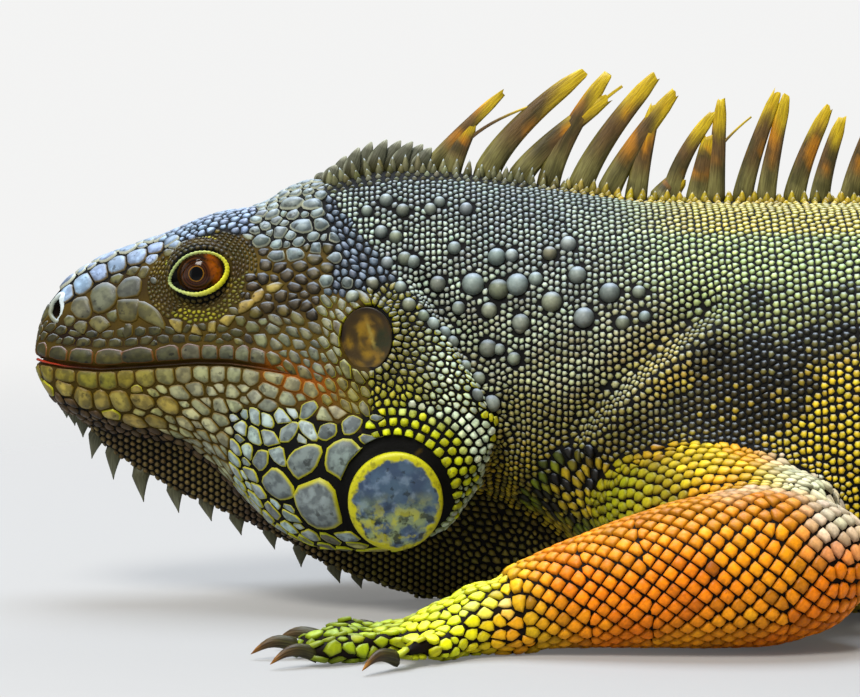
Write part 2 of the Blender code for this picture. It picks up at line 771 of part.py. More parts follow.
def ball(name, centre, size, yaw, roll, colour, grow=0.0, segments=12, rings=7):
    """An ellipsoid: an eyeball, an ear drum or a large scale."""
    bm = bmesh.new()
    bmesh.ops.create_uvsphere(bm, u_segments=segments, v_segments=rings, radius=1.0)
    scale = Matrix.Diagonal(Vector(size) + Vector((grow, grow, grow))).to_4x4()
    turn = Matrix.Rotation(radians(yaw), 4, "Z") @ Matrix.Rotation(radians(roll), 4, "X")
    upright = Matrix.Rotation(radians(90), 4, "X")
    # The poles face sideways, so that the rings lie round the line of sight.
    shape = turn @ scale @ upright
    bm.transform(Matrix.Scale(MM, 4) @ Matrix.Translation(Vector(centre)) @ shape)
    face_outwards(bm)
    return finished(name, bm, colour)


def add_organ(host, name, centre, size, yaw, roll, colour, segments=12, rings=7):
    """An organ on both sides of the head, each let into its own recess."""
    for side, sign in SIDES.items():
        place = (centre[0], centre[1] * sign, centre[2])
        turned = (yaw * sign, roll * sign)
        ball(f"{name}_{side}", place, size, *turned, colour, 0.0, segments, rings)
        recess = ball(f"{name}_{side}_recess", place, size, *turned, None, GAP, segments, rings)
        combine(host, "DIFFERENCE", recess)


def centre_on_floor():
    """Puts the origin on the floor under the middle of the whole animal."""
    bpy.context.view_layer.update()
    graph = bpy.context.evaluated_depsgraph_get()
    corners = []
    for obj in bpy.data.objects:
        if obj.type == "MESH" and not obj.hide_render:
            corners += [Vector(c) for c in obj.evaluated_get(graph).bound_box]
    low = [min(c[i] for c in corners) for i in range(3)]
    high = [max(c[i] for c in corners) for i in range(3)]
    middle = [(low[i] + high[i]) / 2 for i in range(2)]
    bpy.data.objects["iguana"].location = (-middle[0], -middle[1], -low[2])


def build():
    for obj in list(bpy.data.objects):
        bpy.data.objects.remove(obj, do_unlink=True)
    frame = bpy.data.objects.new("iguana", None)
    bpy.context.scene.collection.objects.link(frame)

    head = make_head()
    jaw = make_jaw("lower_jaw", "jaw")
    jaw_cut = make_jaw("lower_jaw_cut", None, GAP)
    neck = body_length("neck", HEAD_LENGTH + GAP, NECK_END, 8.0, "neck")
    trunk = body_length("trunk", NECK_END + GAP, TRUNK_END, 25.0, "trunk")
    neck_cut = body_length("neck_cut", HEAD_LENGTH + GAP, NECK_END, 8.0, None, GAP)
    trunk_cut = body_length("trunk_cut", NECK_END + GAP, TRUNK_END, 25.0, None, GAP)
    path = tail_path()
    tail = make_tail(path)
    add_crest(neck, trunk)
    combine(neck, "DIFFERENCE", jaw_cut)
    add_tail_crest(tail, path)

    dewlap = make_dewlap()
    for cut in (jaw_cut, neck_cut, trunk_cut):
        combine(dewlap, "DIFFERENCE", cut)
    add_organ(head, "eye", EYE_CENTRE, (EYE_RADIUS,) * 3, 0, 0, "eye")
    add_organ(head, "ear_drum", EAR_CENTRE, EAR_SIZE, EAR_YAW, 0, "ear", 12, 6)
    shield_turn = (SHIELD_YAW, SHIELD_ROLL)
    add_organ(jaw, "jowl_shield", SHIELD_CENTRE, SHIELD_SIZE, *shield_turn, "shield", 14, 6)

    arm_names = ("upper_arm", "forearm", "hand")
    leg_names = ("thigh", "shank", "foot")
    for side in SIDES:
        bodies = (neck_cut, trunk_cut)
        make_leg(side, UPPER_ARM[side], FOREARM[side], HANDS[side], arm_names, "arm", bodies)
        make_leg(side, THIGH[side], SHANK[side], FEET[side], leg_names, "leg", (trunk_cut,))


build()
centre_on_floor()
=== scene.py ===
import json
import math
import bpy
import bmesh
import numpy as np
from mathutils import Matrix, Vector
from mathutils.bvhtree import BVHTree
from mathutils.kdtree import KDTree

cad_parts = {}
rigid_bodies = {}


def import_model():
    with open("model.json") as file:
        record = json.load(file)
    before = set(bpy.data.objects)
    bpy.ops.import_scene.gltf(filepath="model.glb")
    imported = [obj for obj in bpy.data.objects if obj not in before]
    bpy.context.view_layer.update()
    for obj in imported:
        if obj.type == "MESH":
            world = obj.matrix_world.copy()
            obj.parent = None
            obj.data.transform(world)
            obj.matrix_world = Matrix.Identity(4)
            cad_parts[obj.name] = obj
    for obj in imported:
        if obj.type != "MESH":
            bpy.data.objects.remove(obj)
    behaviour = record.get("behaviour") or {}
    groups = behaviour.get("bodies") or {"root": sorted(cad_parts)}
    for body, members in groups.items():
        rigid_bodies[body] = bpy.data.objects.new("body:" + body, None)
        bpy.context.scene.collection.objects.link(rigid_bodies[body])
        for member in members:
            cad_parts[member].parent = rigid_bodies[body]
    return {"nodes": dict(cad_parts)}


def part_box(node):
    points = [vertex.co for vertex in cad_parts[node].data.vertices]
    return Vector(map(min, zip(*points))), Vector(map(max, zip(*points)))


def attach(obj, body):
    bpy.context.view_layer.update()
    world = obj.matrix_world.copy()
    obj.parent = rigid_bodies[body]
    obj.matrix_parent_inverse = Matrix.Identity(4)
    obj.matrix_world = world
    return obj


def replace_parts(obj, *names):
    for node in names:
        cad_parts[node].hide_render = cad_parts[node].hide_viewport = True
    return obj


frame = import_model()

for startupName in ("Cube", "Light", "Camera"):
    if startupName in bpy.data.objects:
        bpy.data.objects.remove(bpy.data.objects[startupName])

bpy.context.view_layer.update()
mm = 0.001
fullTurn = 2 * math.pi
sides = {"left": -1.0, "right": 1.0}
upward = np.array([0, 0, 1.0])
# shapes are worked out in millimetres from the snout tip: x backwards, y to the right, z up
midLine = (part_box("eye_left")[0].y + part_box("eye_right")[1].y) / 2
origin = np.array([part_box("head")[0].x - 0.4 * mm, midLine, 0.0])


def toFrame(points):
    return np.asarray(points, float) * mm + origin


def readAll(items, key, width=1, kind=float):
    values = np.empty(len(items) * width, kind)
    items.foreach_get(key, values)
    return values.reshape(-1, width) if width > 1 else values


def nodePoints(name):
    mesh = frame["nodes"][name].data
    mesh.calc_loop_triangles()
    return (readAll(mesh.vertices, "co", 3) - origin) / mm, readAll(mesh.loop_triangles, "vertices", 3, int)


def joinedNodes(names):
    # points and faces of several nodes, and which node each face is from
    parts = [nodePoints(name) for name in names]
    starts = np.cumsum([0] + [len(points) for points, _ in parts])
    faces = [faces + start for (_, faces), start in zip(parts, starts)]
    owners = np.repeat(np.arange(len(names)), [len(part) for part in faces])
    return np.vstack([points for points, _ in parts]), np.vstack(faces), owners


def treeOf(points, faces):
    return BVHTree.FromPolygons(points.tolist(), faces.tolist())


def unit(vectors):
    vectors = np.asarray(vectors, float)
    return vectors / np.maximum(np.linalg.norm(vectors, axis=-1, keepdims=True), 1e-9)


def ease(low, high, value):
    t = np.clip((value - low) / (high - low), 0.0, 1.0)
    return t * t * (3 - 2 * t)


def between(stations, where):
    # value at a place along (place, value) pairs
    table = np.array(stations, float)
    return np.interp(where, table[:, 0], table[:, 1])


def cast(tree, start, direction, reach):
    # where a ray meets the surface, or None
    hit = tree.ray_cast(Vector(start), Vector(direction), reach)[0]
    return None if hit is None else np.array(hit)


def around(count, shift=0.0):
    return (np.arange(count) + shift) * fullTurn / count


def rawObject(name, points, faces=()):
    mesh = bpy.data.meshes.new(name)
    mesh.from_pydata(np.asarray(points, float).tolist(), [], [[int(i) for i in face] for face in faces])
    obj = bpy.data.objects.new(name, mesh)
    bpy.context.scene.collection.objects.link(obj)
    return obj


def evaluatedMesh(obj):
    bpy.context.view_layer.update()
    graph = bpy.context.evaluated_depsgraph_get()
    return bpy.data.meshes.new_from_object(obj.evaluated_get(graph), depsgraph=graph)


def ringFaces(rows, count):
    # quads between rings of points, closed at both ends
    faces = [(i * count + k, i * count + (k + 1) % count, (i + 1) * count + (k + 1) % count,
              (i + 1) * count + k)
             for i in range(rows - 1) for k in range(count)]
    last = (rows - 1) * count
    return faces + [tuple(range(count))[::-1], tuple(range(last, last + count))]


# the body's line from the nape to the tail's tip
spine = {
    "start": 74.0,
    "tailRoot": 450.0,
    "end": 1351.0,
    "swing": 26.0,  # degrees
    "wave": 820.0,
    "straightens": 120.0,
    "height": [(60, 64), (110, 58), (137, 50), (150, 46), (200, 43), (300, 37), (450, 29), (550, 20),
               (650, 15.5), (800, 11.5), (1000, 7.6), (1200, 4.3), (1352, 1.6)],
}
tailSteps = np.arange(int(spine["end"] - spine["tailRoot"]) + 3)
tailHeading = (math.radians(spine["swing"]) * np.sin(fullTurn * tailSteps / spine["wave"])
               * np.minimum(1.0, tailSteps / spine["straightens"]))
tailPath = np.stack([np.cumsum(np.append(spine["tailRoot"], np.cos(tailHeading)[:-1])),
                     np.cumsum(np.append(0, np.sin(tailHeading)[:-1]))], -1)


def spineAt(distance):
    # centre, direction and sideways direction of the body at this distance from the snout
    distance = np.asarray(distance, float)
    behind = np.clip(distance - spine["tailRoot"], 0, len(tailPath) - 1.001)
    x = np.where(behind > 0, np.interp(behind, tailSteps, tailPath[:, 0]), distance)
    y = np.where(behind > 0, np.interp(behind, tailSteps, tailPath[:, 1]), 0.0)
    turn = np.interp(behind, tailSteps, tailHeading)
    centre = np.stack([x, y, between(spine["height"], distance)], -1)
    return (centre, np.stack([np.cos(turn), np.sin(turn), 0 * turn], -1),
            np.stack([-np.sin(turn), np.cos(turn), 0 * turn], -1))


def along(points):
    # distance from the snout along the body's line
    flat = np.asarray(points)[:, :2]
    nearest = 4 * np.argmin(((flat[:, None] - tailPath[None, ::4]) ** 2).sum(2), 1)
    return np.where(flat[:, 0] < spine["tailRoot"], flat[:, 0], spine["tailRoot"] + nearest)


bodyNodes = ["neck", "trunk"] + [f"tail_{k}" for k in range(1, 6)]
limbNodes = [f"{part}_{side}" for side in sides
             for part in ("upper_arm", "forearm", "hand", "thigh", "shank", "foot")]
headNodes = ["head", "lower_jaw"]
fleshNodes = headNodes + ["dewlap"] + bodyNodes + limbNodes
skinPlan = {
    "voxel": 2.5,
    "smoothings": 5,
    "depth": 0.45,  # how far the skin lies inside the solids, under the scales
    "ringStep": 3.0,
    "raysRound": 72,
    "snoutTip": 16.0,  # before this the skin is drawn back out to the solids
}


def bodyTube():
    # neck, trunk and tail without their crest, from rays cast at the solids from outside
    body, skull = treeOf(*joinedNodes(bodyNodes)[:2]), treeOf(*joinedNodes(headNodes)[:2])
    count = skinPlan["raysRound"]
    angles = around(count, 0.5)
    centres, _, sideways = spineAt(np.arange(spine["start"], spine["end"], skinPlan["ringStep"]))
    rays = np.cos(angles)[:, None] * sideways[:, None] + np.sin(angles)[:, None] * upward
    radii = np.ones((len(centres), count))
    for i, centre in enumerate(centres):
        for k, ray in enumerate(rays[i]):
            for solid, inset in ((body, 0.0), (skull, 2.0)):
                hit = cast(solid, centre + ray * 220, -ray, 219)
                if hit is not None:
                    radii[i, k] = (Vector(hit) - Vector(centre)).length - inset
                    break
    top = count // 4
    radii[:, top - 1] = radii[:, top - 2] * 1.004
    radii[:, top] = radii[:, top + 1] * 1.004
    points = centres[:, None] + radii[..., None] * rays
    points = np.vstack([points.reshape(-1, 3), centres[:1], centres[-1:]])
    first, tail = len(points) - 2, (len(centres) - 1) * count
    faces = ringFaces(len(centres), count)[:-2] + [(first, (k + 1) % count, k) for k in range(count)]
    return points, faces + [(first + 1, tail + k, tail + (k + 1) % count) for k in range(count)], radii


def relax(bm, verts, times):
    for _ in range(times):
        bmesh.ops.smooth_vert(bm, verts=verts, factor=0.5, use_axis_x=True, use_axis_y=True, use_axis_z=True)


def wholeBody():
    # one closed surface round every piece of flesh, with the eye and ear hollows filled
    tubePoints, tubeFaces, radii = bodyTube()
    others = headNodes + ["dewlap"] + limbNodes
    others += [f"{part}_{side}" for side in sides for part in ("eye", "ear_drum", "jowl_shield")]
    points, faces, _ = joinedNodes(others)
    faces = faces.tolist() + [[i + len(points) for i in face] for face in tubeFaces]
    obj = rawObject("skin", np.vstack([points, tubePoints]), faces)
    modifier = obj.modifiers.new("wrap", "REMESH")
    modifier.mode = "VOXEL"
    modifier.voxel_size = skinPlan["voxel"]
    mesh = evaluatedMesh(obj)
    obj.modifiers.clear()
    obj.data = mesh
    return obj, radii


eye = {
    "centre": (43.0, 12.8, 82.2),
    "radius": 8.2,
    "look": (-0.10, 1.0, 0.06),
    "tilt": 17.0,  # degrees that the opening's rear corner stands higher
    "opening": (6.6, 4.7),  # half length, half height
    "openingShift": 0.7,
    "lidRadius": 9.3,
    "lidReach": (8.0, 12.5),
}
ear = {"centre": (83.5, 29.6, 67.6), "half": (6.0, 7.3), "yaw": 12.0, "roll": 0.0}
shield = {"centre": (90.5, 36.3, 28.8), "half": (11.4, 12.4), "yaw": -2.0, "roll": -14.0}
nostril = {"place": (6.1, 73.6), "half": (1.5, 2.6), "depth": 3.2}
mouth = {
    "line": [(0, 60.9), (4, 60.3), (9.5, 59.5), (18, 59.0), (30, 60.0), (42, 61.1), (50, 61.1), (58, 60.2),
             (66, 58.8), (72, 57.8)],
    "corner": 63.0,
    "depth": 1.1,
    "half": 0.55,
    "lips": 0.28,  # how far the lips' plates end from the line
}
folds = {
    # line in side view, rise, drop and width of each fold
    "jowl": ([(93, 83), (99, 75.5), (108.5, 60.5), (116.5, 46), (111.5, 30), (102, 16.5)], 1.3, 2.2, 3.0),
    "shoulder": ([(170, 78), (158, 68), (146, 58), (137, 48), (131, 38)], 2.2, 2.6, 4.0),
    "nape": ([(70, 103), (78, 90), (84, 80), (88, 74)], 0.9, 1.2, 2.0),
}


def eyeFrame(sign):
    # centre, line of sight, long and short direction of the eye's opening
    look = unit(np.multiply(eye["look"], (1, sign, 1)))
    level = unit(np.cross(look, upward))
    level *= math.copysign(1, level[0])
    upright = unit(np.cross(look, level))
    upright *= math.copysign(1, upright[2])
    turn = math.radians(eye["tilt"])
    return (np.multiply(eye["centre"], (1, sign, 1)), look, level * math.cos(turn) + upright * math.sin(turn),
            upright * math.cos(turn) - level * math.sin(turn))


def organFrame(organ, sign):
    # centre, outward, backward and upward direction of a flat organ on the head
    yaw, roll = math.radians(organ["yaw"] * sign), math.radians(organ["roll"] * sign)
    axes = np.array([(0, sign * math.cos(roll), sign * math.sin(roll)), (1, 0, 0),
                     (0, -math.sin(roll), math.cos(roll))])
    turned = axes @ np.array([(math.cos(yaw), math.sin(yaw), 0),
                              (-math.sin(yaw), math.cos(yaw), 0), (0, 0, 1)])
    return (np.multiply(organ["centre"], (1, sign, 1)), *turned)


def ovalShare(points, organ, sign):
    # 1 on the organ's outline, less inside it
    centre, _, back, up = organFrame(organ, sign)
    return np.hypot((points - centre) @ back / organ["half"][0], (points - centre) @ up / organ["half"][1])


def eyeSpread(points):
    # distance from the line of sight, on the eye's own side
    result = np.full(len(points), 99.0)
    for sign in sides.values():
        centre, look, long, short = eyeFrame(sign)
        away = points - centre
        mine = (away @ look > 0) & (np.sign(points[:, 1]) == sign)
        result = np.where(mine, np.hypot(away @ long, away @ short), result)
    return result


def lineDistance(points, line):
    # signed distance in side view from a line, positive behind it, and how far along it is
    flat, corners = points[:, (0, 2)], np.array(line, float)
    best = np.full(len(flat), 1e9)
    signed, share = best.copy(), np.zeros(len(flat))
    for k, (a, b) in enumerate(zip(corners[:-1], corners[1:])):
        run = b - a
        t = np.clip(((flat - a) @ run) / (run @ run), 0, 1)
        away = flat - (a + t[:, None] * run)
        length = np.linalg.norm(away, axis=1)
        nearer = length < best
        best = np.where(nearer, length, best)
        signed = np.where(nearer, np.sign(run[0] * away[:, 1] - run[1] * away[:, 0]) * length, signed)
        share = np.where(nearer, (k + t) / (len(corners) - 1), share)
    return signed, share


def mouthGap(points):
    return points[:, 2] - between(mouth["line"], points[:, 0])


def shapedHead(points, normals):
    # lids, nostrils, mouth, ears, jowl and folds pressed into the bare skin
    fade = 1 - ease(mouth["corner"] - 5, mouth["corner"] + 4, points[:, 0])
    gap, out = mouthGap(points), np.abs(points[:, 1])
    push = (0.55 * np.exp(-((gap - 2.8) / 1.6) ** 2) + 0.30 * np.exp(-((gap + 2.6) / 1.4) ** 2)
            - mouth["depth"] * np.exp(-(gap / mouth["half"]) ** 2)) * fade
    for name, (line, rise, drop, wide) in folds.items():
        signed, share = lineDistance(points, line)
        weight = ease(0, 0.12, share) * (1 - ease(0.86, 1.0, share))
        weight *= ease(3, 8, out) if name == "nape" else ease(16, 24, out)
        towards = -signed if name == "shoulder" else signed
        push += weight * rise * np.exp(-((towards + 0.8 * wide) / wide) ** 2)
        push -= weight * drop * np.exp(-((towards - 0.5 * wide) / wide) ** 2)
    for sign in sides.values():
        near = (points[:, 1] * sign > 20)
        q = ovalShare(points, ear, sign)
        push += near * (0.75 * np.exp(-((q - 1.22) / 0.16) ** 2) - 1.7 * ease(1.10, 0.96, q))
        q = ovalShare(points, shield, sign)
        push -= near * (np.exp(-((q - 1.13) / 0.10) ** 2) + 1.6 * ease(1.12, 0.98, q))
    moved = points + normals * push[:, None]
    for sign in sides.values():
        centre, look, long, short = eyeFrame(sign)
        away = points - centre
        radius = np.linalg.norm(away, axis=1)
        a, b = away @ long, away @ short
        onSide = np.where(points[:, 1] < 0, -1.0, 1.0) == sign
        lid = (away @ look > 0) * (1 - ease(*eye["lidReach"], np.hypot(a, b))) * onSide
        target = radius + (eye["lidRadius"] - radius) * lid
        opened = (np.hypot((a - eye["openingShift"]) / eye["opening"][0],
                           b / eye["opening"][1]) < 1) & (lid > 0.5)
        target = np.where(opened, eye["radius"] - 2.2, target)
        moved = np.where((lid > 0)[:, None], centre + away * (target / radius)[:, None], moved)
        away = points - nostrilPlace(sign)
        reach = np.hypot(np.hypot(away[:, 0], away[:, 1]) / nostril["half"][0],
                         away[:, 2] / nostril["half"][1])
        moved -= normals * (np.exp(-reach ** 4) * nostril["depth"])[:, None]
    return moved


def nostrilPlace(sign):
    x, z = nostril["place"]
    return cast(headTree, (x, sign * 40, z), (0, -sign, 0), 40)


def refine(bm, chosen):
    # splits every edge of the faces whose middle passes the test
    edges = {edge for face in bm.faces if chosen(face.calc_center_median()) for edge in face.edges}
    bmesh.ops.subdivide_edges(bm, edges=list(edges), cuts=1, use_grid_fill=True)


def nearFeature(place):
    # where the head's finest shapes lie
    x, y, z = place
    if x < 66 and abs(z - float(between(mouth["line"], x))) < 2.2:
        return True
    if (place - Vector((eye["centre"][0], math.copysign(eye["centre"][1], y),
                        eye["centre"][2]))).length < 12.5:
        return abs(y) > 12
    return (place - Vector((nostril["place"][0], math.copysign(9, y), nostril["place"][1]))).length < 4.5


digitBoxes = [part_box(f"{kind}_{side}") for kind in ("hand", "foot") for side in sides]


def nearDigits(place):
    spot = toFrame(place)
    return any(all(low[k] - 2 * mm < spot[k] < high[k] + 2 * mm for k in range(3))
               for low, high in digitBoxes)


def shapeSkin():
    bm = bmesh.new()
    bm.from_mesh(skin.data)
    relax(bm, [v for v in bm.verts if not nearDigits(v.co)], skinPlan["smoothings"])
    refine(bm, nearDigits)
    thin = [v for v in bm.verts if nearDigits(v.co)]
    relax(bm, thin, 2)
    for vert in thin:
        vert.co = vert.co.lerp(fleshTree.find_nearest(vert.co)[0], 0.85)
    relax(bm, thin, 2)
    refine(bm, lambda place: place.x < 112 and not nearDigits(place))
    relax(bm, [v for v in bm.verts if v.co.x < 114], 3)
    refine(bm, nearFeature)
    relax(bm, [v for v in bm.verts if nearFeature(v.co)], 2)
    tip = [v for v in bm.verts if v.co.x < skinPlan["snoutTip"]]
    for vert in tip:
        share = 0.95 * float(ease(skinPlan["snoutTip"], 0.6 * skinPlan["snoutTip"], vert.co.x))
        vert.co = vert.co.lerp(headTree.find_nearest(vert.co)[0], share)
    relax(bm, tip, 1)
    bmesh.ops.triangulate(bm, faces=bm.faces[:])
    bm.to_mesh(skin.data)
    bm.free()
    points, normals = readAll(skin.data.vertices, "co", 3), readAll(skin.data.vertices, "normal", 3)
    moved = shapedHead(points, normals)
    moved -= normals * (skinPlan["depth"] * np.where(points[:, 2] < 0.8, 0.2, 1.0))[:, None]
    moved[:, 2] = np.maximum(moved[:, 2], 0.15)
    skin.data.vertices.foreach_set("co", moved.ravel())
    skin.data.update()


headTree = treeOf(*joinedNodes(headNodes)[:2])
fleshPoints, fleshFaces, fleshOwner = joinedNodes(fleshNodes)
fleshTree = treeOf(fleshPoints, fleshFaces)
skin, tubeRadii = wholeBody()
shapeSkin()
skinPoints, skinNormals = readAll(skin.data.vertices, "co", 3), readAll(skin.data.vertices, "normal", 3)
skinFaces = readAll(skin.data.polygons, "vertices", 3, int)
skinTree = treeOf(skinPoints, skinFaces)
faceCentres = skinPoints[skinFaces].mean(1)
faceUps = unit(skinNormals[skinFaces].mean(1))
faceOwner = np.array([fleshOwner[fleshTree.find_nearest(Vector(p))[2]] for p in faceCentres])
print("skin:", len(skinFaces), "triangles")


def onSkin(points):
    # nearest place on the skin, its outward direction and the node that owns it
    found = [skinTree.find_nearest(Vector(p)) for p in points]
    index = np.array([f[2] for f in found])
    return np.array([tuple(f[0]) for f in found]), faceUps[index], faceOwner[index]


def owned(*stems):
    return [k for k, name in enumerate(fleshNodes) if name.startswith(stems)]


def kept(keep, *arrays):
    return [values[keep] for values in arrays]


def columns(first, second):
    # every pair of two lists of values, as two columns
    return np.repeat(first, len(second))[:, None], np.tile(second, len(first))[:, None]


# colours, as a painter would name them
paint = {
    "black": (0.02, 0.02, 0.018),
    "soot": (0.045, 0.04, 0.03),
    "umber": (0.16, 0.10, 0.05),
    "brown": (0.33, 0.25, 0.13),
    "rust": (0.50, 0.29, 0.03),
    "lipRed": (0.70, 0.20, 0.06),
    "orange": (0.94, 0.50, 0.01),
    "amber": (0.95, 0.62, 0.05),
    "gold": (0.86, 0.74, 0.10),
    "yellow": (0.84, 0.86, 0.04),
    "lemon": (0.76, 0.74, 0.08),
    "cream": (0.84, 0.85, 0.74),
    "ochre": (0.46, 0.37, 0.06),
    "tan": (0.60, 0.53, 0.24),
    "sand": (0.50, 0.48, 0.27),
    "olive": (0.40, 0.37, 0.10),
    "moss": (0.25, 0.24, 0.10),
    "fern": (0.46, 0.52, 0.04),
    "sage": (0.62, 0.68, 0.42),
    "mist": (0.74, 0.80, 0.68),
    "lichen": (0.37, 0.36, 0.24),
    "stone": (0.45, 0.46, 0.37),
    "pebble": (0.47, 0.52, 0.51),
    "slate": (0.36, 0.41, 0.46),
    "sky": (0.52, 0.60, 0.70),
    "ink": (0.20, 0.26, 0.38),
    "bark": (0.22, 0.18, 0.09),
}


def colour(name):
    # the named paint as linear light
    value = np.array(paint[name] if isinstance(name, str) else name)
    return np.where(value <= 0.04045, value / 12.92, ((value + 0.055) / 1.055) ** 2.4)


def blend(first, second, share):
    return first + (second - first) * np.clip(np.asarray(share), 0, 1)[..., None]


def washed(tint, *layers):
    # paints laid over a tint, each as (paint, share) or (paint, strength, share)
    for name, *strength, share in layers:
        tint = blend(tint, colour(name) * (strength[0] if strength else 1.0), share)
    return tint


def ripple(points, size, turn=0.0):
    # smooth wandering value between 0 and 1
    x, y, z = np.moveaxis(np.asarray(points) / size, -1, 0)
    a = np.sin(x * 1.7 + 2.1 * np.sin(z * 1.3 + turn) + turn)
    b = np.sin(z * 2.3 + 1.7 * np.sin(y * 1.1 + 2 * turn) + 1.3 * turn)
    return np.clip(0.5 + (a + b + np.sin(y * 1.9 + x * 0.8 + 3 * turn)) / 5.0, 0, 1)


def cloudy(low, high, points, size, turn=0.0):
    return ease(low, high, ripple(points, size, turn))


def ragged(points, height, size, turn=0.0):
    # height with a wandering edge
    return points[:, 2] + height * (ripple(points, size, turn) - 0.5)


def grit(points, share):
    # 1 on this share of the places, picked one by one
    value = np.sin(points[:, 0] * 12.99 + points[:, 1] * 37.7 + points[:, 2] * 78.23) * 43.75
    return ((value - np.floor(value)) < share).astype(float)


# the pattern of the coat: paint for each place of the body
def neckPaint(points):
    x, z = points[:, 0], points[:, 2]
    tint = washed(colour("ochre"), ("olive", ease(8, 24, z)), ("sand", ease(30, 56, ragged(points, 10, 14))),
                  ("stone", ease(48, 74, ragged(points, 12, 7, 3))),
                  ("pebble", 0.7 * ease(66, 92, ragged(points, 14, 11, 2))),
                  ("mist", 0.35 * cloudy(0.45, 0.9, points, 5, 6) * ease(40, 60, z)))
    tint = tint * (1.15 + 0.35 * ease(30, 50, z) * ease(100, 84, z))[:, None]
    return washed(tint, ("olive", 1.1, 0.6 * ease(112, 130, x) * ease(66, 46, z)),
                  ("gold", 0.8, 0.7 * ease(48, 26, z) * grit(points, 0.55)))


def trunkPaint(points):
    x, z = points[:, 0], points[:, 2]
    bands = ease(0.62, 0.9, np.sin((x - 210) / 62 * fullTurn) * 0.5 + 0.5)
    return washed(colour("gold") * 0.8, ("olive", ease(12, 34, ragged(points, 12, 20))),
                  ("sand", 0.85, ease(34, 62, z)), ("sage", 1.15, ease(66, 84, ragged(points, 12, 16, 1))),
                  ("gold", 0.8, 0.7 * cloudy(0.3, 0.7, points, 24, 3) * ease(92, 60, z)),
                  ("gold", 0.6 * ease(91.5, 93.5, z) * ease(140, 165, x)),
                  ("gold", 1.05, 0.8 * ease(180, 190, x) * ease(70, 60, z)),
                  ("soot", 0.93 * darkPatch(points)),
                  ("bark", 0.55 * bands * ease(205, 260, x) * ease(22, 40, z)),
                  ("sand", ease(12, 4, z) * ease(190, 240, x)))


def darkPatch(points):
    # the ragged dark blotch behind the shoulder, and the dark hollow between neck and arm
    x, y, z = points.T
    edge = 1.1 * (ripple(points, 6, 4) - 0.5) + 0.6 * (ripple(points, 2.4, 1) - 0.5)
    away = np.hypot((x - 174 - 0.5 * (z - 56)) / 20.0, (z - 57) / 17.0)
    blotch = ease(1.15, 0.75, away + edge) * (0.35 + 0.65 * grit(points, 0.80))
    hollow = np.hypot((x - 136 - 0.7 * (z - 30)) / 11.0, (z - 31) / 15.0)
    pit = ease(1.25, 0.8, hollow + 0.4 * edge) * (0.10 + 0.90 * grit(points, 0.72))
    return np.maximum(blotch, pit) * (np.abs(y) > 10)


def tailPaint(points):
    distance = along(points)
    bands = np.sin((distance - 455) / 78 * fullTurn + 0.6 * (ripple(points, 12) - 0.5))
    return washed(colour("olive"), ("sand", ripple(points, 25, 1)), ("bark", 0.7, ease(-0.1, 0.45, bands)),
                  ("brown", 0.8, 0.6 * ease(900, 1250, distance)))


def limbPaint(points, name):
    x, z = points[:, 0], points[:, 2]
    wave = ripple(points, 12, 1)
    if name.startswith("upper_arm"):
        # the cream near the elbow is a painted highlight
        return washed(colour("gold") * 0.8, ("olive", 0.8 * ease(0.45, 0.85, wave)),
                      ("amber", 0.8, 0.7 * cloudy(0.5, 0.8, points, 8, 3)), ("fern", 0.8 * ease(156, 142, x)),
                      ("cream", 0.75 * ease(172, 184, x) * ease(24, 31, z)))
    if name.startswith("forearm"):
        # the cream along the top and at the elbow is a painted highlight
        return washed(colour("orange"), ("amber", 0.75 * cloudy(0.2, 0.8, points, 9, 2)),
                      ("amber", 0.62, 0.85 * ease(25, 33, z + 6 * (wave - 0.5))),
                      ("gold", 0.75 * ease(136, 116, x + 0.5 * (z - 10))),
                      ("cream", 0.6 * ease(33, 37, z) * cloudy(0.4, 0.7, points, 6, 5)),
                      ("cream", 0.7 * ease(180, 188, x) * ease(20, 30, z)))
    if name.startswith("hand"):
        # the cream on the top of the wrist's ridge is a painted highlight
        return washed(colour("amber"), ("yellow", 1.15, ease(128, 108, x + 8 * wave)),
                      ("fern", 1.5, ease(100, 84, x + 8 * (wave - 0.5))),
                      ("cream", 1.2, 0.7 * ease(9, 14, z) * ease(96, 108, x) * ease(0.35, 0.6, wave)),
                      ("moss", 0.4 * cloudy(0.80, 0.94, points, 7, 5)))
    if name.startswith("foot"):
        return blend(colour("fern") * 0.8, colour("olive"), wave)
    return washed(colour("gold") * 0.85, ("olive", ease(0.3, 0.7, wave)),
                  ("bark", 0.5 * cloudy(0.6, 0.85, points, 17, 5)))


def dewlapPaint(points):
    x = points[:, 0]
    return washed(colour("brown"), ("tan", 0.8, 0.5 * ripple(points, 8)), ("sand", 0.35 * ease(24, 8, x)),
                  ("soot", 0.6 * grit(points, 0.35) * ease(60, 80, x)), ("olive", ease(62, 90, x) * 0.8))


def bodyPaint(points, owner):
    # neck and trunk share their colours across the neck's rear end
    tint = blend(neckPaint(points), trunkPaint(points), ease(128, 172, points[:, 0]))
    for stems, paintOf in ((("dewlap",), dewlapPaint),
                           (("head", "lower_jaw"), lambda here: zonePaint(here)[0]), (("tail",), tailPaint)):
        mine = np.isin(owner, owned(*stems))
        if mine.any():
            tint[mine] = paintOf(points[mine])
    for name in limbNodes:
        mine = owner == fleshNodes.index(name)
        if mine.any():
            tint[mine] = limbPaint(points[mine], name)
    return tint


